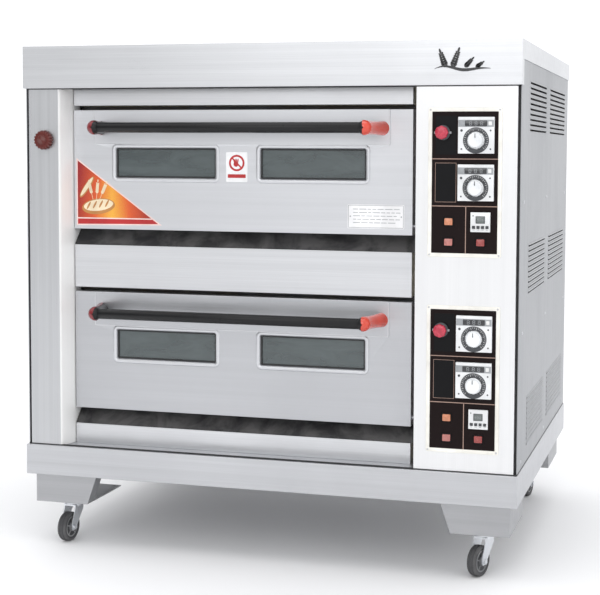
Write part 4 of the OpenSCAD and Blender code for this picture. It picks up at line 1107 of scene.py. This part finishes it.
for x in [-590 * MM + 196.7 * MM * k for k in range(7)]:
    for z in (base_hi.z + 16 * MM, cap_hi.z - 60 * MM):
        rear.screw((x, back_hi.y, z), (0, 1, 0), 4 * MM, 1.8 * MM, 1)
for z in [base_hi.z + 200 * MM * k for k in range(1, 5)]:
    for x in (-620 * MM, 620 * MM):
        rear.screw((x, back_hi.y, z), (0, 1, 0), 4 * MM, 1.8 * MM, 1)
rear.done(sharp=34, weighted=False)

fixings = Piece("cabinet_screws", "zinc", screw_steel)
for z in (base_hi.z + 22 * MM, base_hi.z + 330 * MM, base_hi.z + 640 * MM):
    for y in (-430 * MM, 0, 430 * MM):
        fixings.screw((panel_hi.x, y, z), (1, 0, 0))
        fixings.screw((-panel_hi.x, y, z), (-1, 0, 0))
for x in (-600 * MM, 0, 600 * MM):
    for y in (-440 * MM, 440 * MM):
        fixings.screw((x, y, cap_hi.z - 0.4 * MM), (0, 0, 1), 4.2 * MM, 0.4 * MM)
for side in (-1, 1):
    for y in (-380 * MM, 0, 380 * MM):
        fixings.screw((side * (cap_hi.x - 0.4 * MM), y, cap_hi.z - 22 * MM), (side, 0, 0), 4.2 * MM, 0.4 * MM)
fixings.done(sharp=34, weighted=False)

# Rope seals round the mouths of both chambers
for deck in ("upper", "lower"):
    lo, hi = limits(deck + "_chamber")
    door_lo_z = DOORS[deck][0][0].z
    mouth_x0, mouth_x1 = lo.x + 26 * MM - 12 * MM, hi.x - 41 * MM + 12 * MM
    mouth_z0, mouth_z1 = door_lo_z + 26 * MM - 11 * MM, door_lo_z + 256 * MM + 11 * MM
    outline = rounded_outline(mouth_x1 - mouth_x0, mouth_z1 - mouth_z0, 16 * MM, 6)
    cx, cz = (mouth_x0 + mouth_x1) / 2, (mouth_z0 + mouth_z1) / 2
    rope = Piece(deck + "_chamber_seal", "dark_sheet", seal_rope)
    rope.tube([(cx + x, lo.y - 4.6 * MM, cz + z) for x, z in outline], 4.2 * MM, 0, 12, loop=True)
    rope.done(sharp=60, weighted=False)

# ---------- floor, light and camera ----------

floor_mesh = bpy.data.meshes.new("floor")
floor_mesh.from_pydata([(-14, -14, 0), (14, -14, 0), (14, 14, 0), (-14, 14, 0)], [], [(0, 1, 2, 3)])
floor = bpy.data.objects.new("floor", floor_mesh)
bpy.context.scene.collection.objects.link(floor)
ground = Nodes("floor_paint")
cloud = ground.noise(ground.mapped((0.6, 0.6, 0.6)), detail=3)
ground.link(ground.mix(cloud, (0.92, 0.92, 0.93, 1), (0.95, 0.95, 0.955, 1)), ground.shader.inputs["Base Color"])
ground.shader.inputs["Roughness"].default_value = 0.75
floor_mesh.materials.append(ground.material)

world = bpy.data.worlds.new("studio")
bpy.context.scene.world = world
world.use_nodes = True
sky = world.node_tree
ahead = sky.nodes.new("ShaderNodeVectorMath")
ahead.operation = "DOT_PRODUCT"
ahead.inputs[1].default_value = (-0.85, -0.53, 0.0)
sky.links.new(sky.nodes.new("ShaderNodeTexCoord").outputs["Generated"], ahead.inputs[0])
shade = sky.nodes.new("ShaderNodeMapRange")
shade.interpolation_type = "SMOOTHSTEP"
for key, number in (("From Min", 0.70), ("From Max", 1.0), ("To Min", 1.0), ("To Max", 0.18)):
    shade.inputs[key].default_value = number
sky.links.new(ahead.outputs["Value"], shade.inputs["Value"])
wall = sky.nodes.new("ShaderNodeMix")
wall.data_type = "RGBA"
wall.inputs[6].default_value = (0, 0, 0, 1)
wall.inputs[7].default_value = (0.985, 0.99, 1.0, 1)
sky.links.new(shade.outputs["Result"], wall.inputs[0])
sky.links.new(wall.outputs[2], sky.nodes["Background"].inputs["Color"])
sky.nodes["Background"].inputs["Strength"].default_value = 1.18


def soft_light(name, place, target, size, power, colour=(1, 1, 1)):
    data = bpy.data.lights.new(name, "AREA")
    data.shape = "RECTANGLE"
    data.size, data.size_y = size
    data.energy = power
    data.color = colour
    lamp = bpy.data.objects.new(name, data)
    bpy.context.scene.collection.objects.link(lamp)
    lamp.location = place
    lamp.rotation_euler = (Vector(target) - Vector(place)).to_track_quat("-Z", "Y").to_euler()
    return lamp


soft_light("key", (-0.2, -4.4, 2.6), (0.2, 0, 0.7), (2.6, 2.2), 22)
soft_light("right_fill", (4.2, -1.4, 1.8), (0.2, 0, 0.7), (2.4, 2.4), 3)
soft_light("top_soft", (0.0, -0.6, 4.2), (0, 0, 0.6), (3.2, 3.2), 36)

camera_data = bpy.data.cameras.new("camera")
camera_data.sensor_width = 36
camera_data.lens = 81.84
camera_data.shift_x = -0.075
camera_data.shift_y = -0.0908
camera = bpy.data.objects.new("camera", camera_data)
bpy.context.scene.collection.objects.link(camera)
YAW, PITCH, ROLL = math.radians(15.32), math.radians(-3.79), math.radians(0.30)
forward = Vector((-math.sin(YAW) * math.cos(PITCH), math.cos(YAW) * math.cos(PITCH), math.sin(PITCH)))
right = Vector((math.cos(YAW), math.sin(YAW), 0))
up = right.cross(forward)
right_rolled = right * math.cos(ROLL) + up * math.sin(ROLL)
up_rolled = up * math.cos(ROLL) - right * math.sin(ROLL)
axes = Matrix((right_rolled, up_rolled, -forward)).transposed().to_4x4()
camera.matrix_world = Matrix.Translation((1.0744, -3.6332, 1.0160)) @ axes
bpy.context.scene.camera = camera
bpy.context.scene.view_settings.view_transform = "Standard"
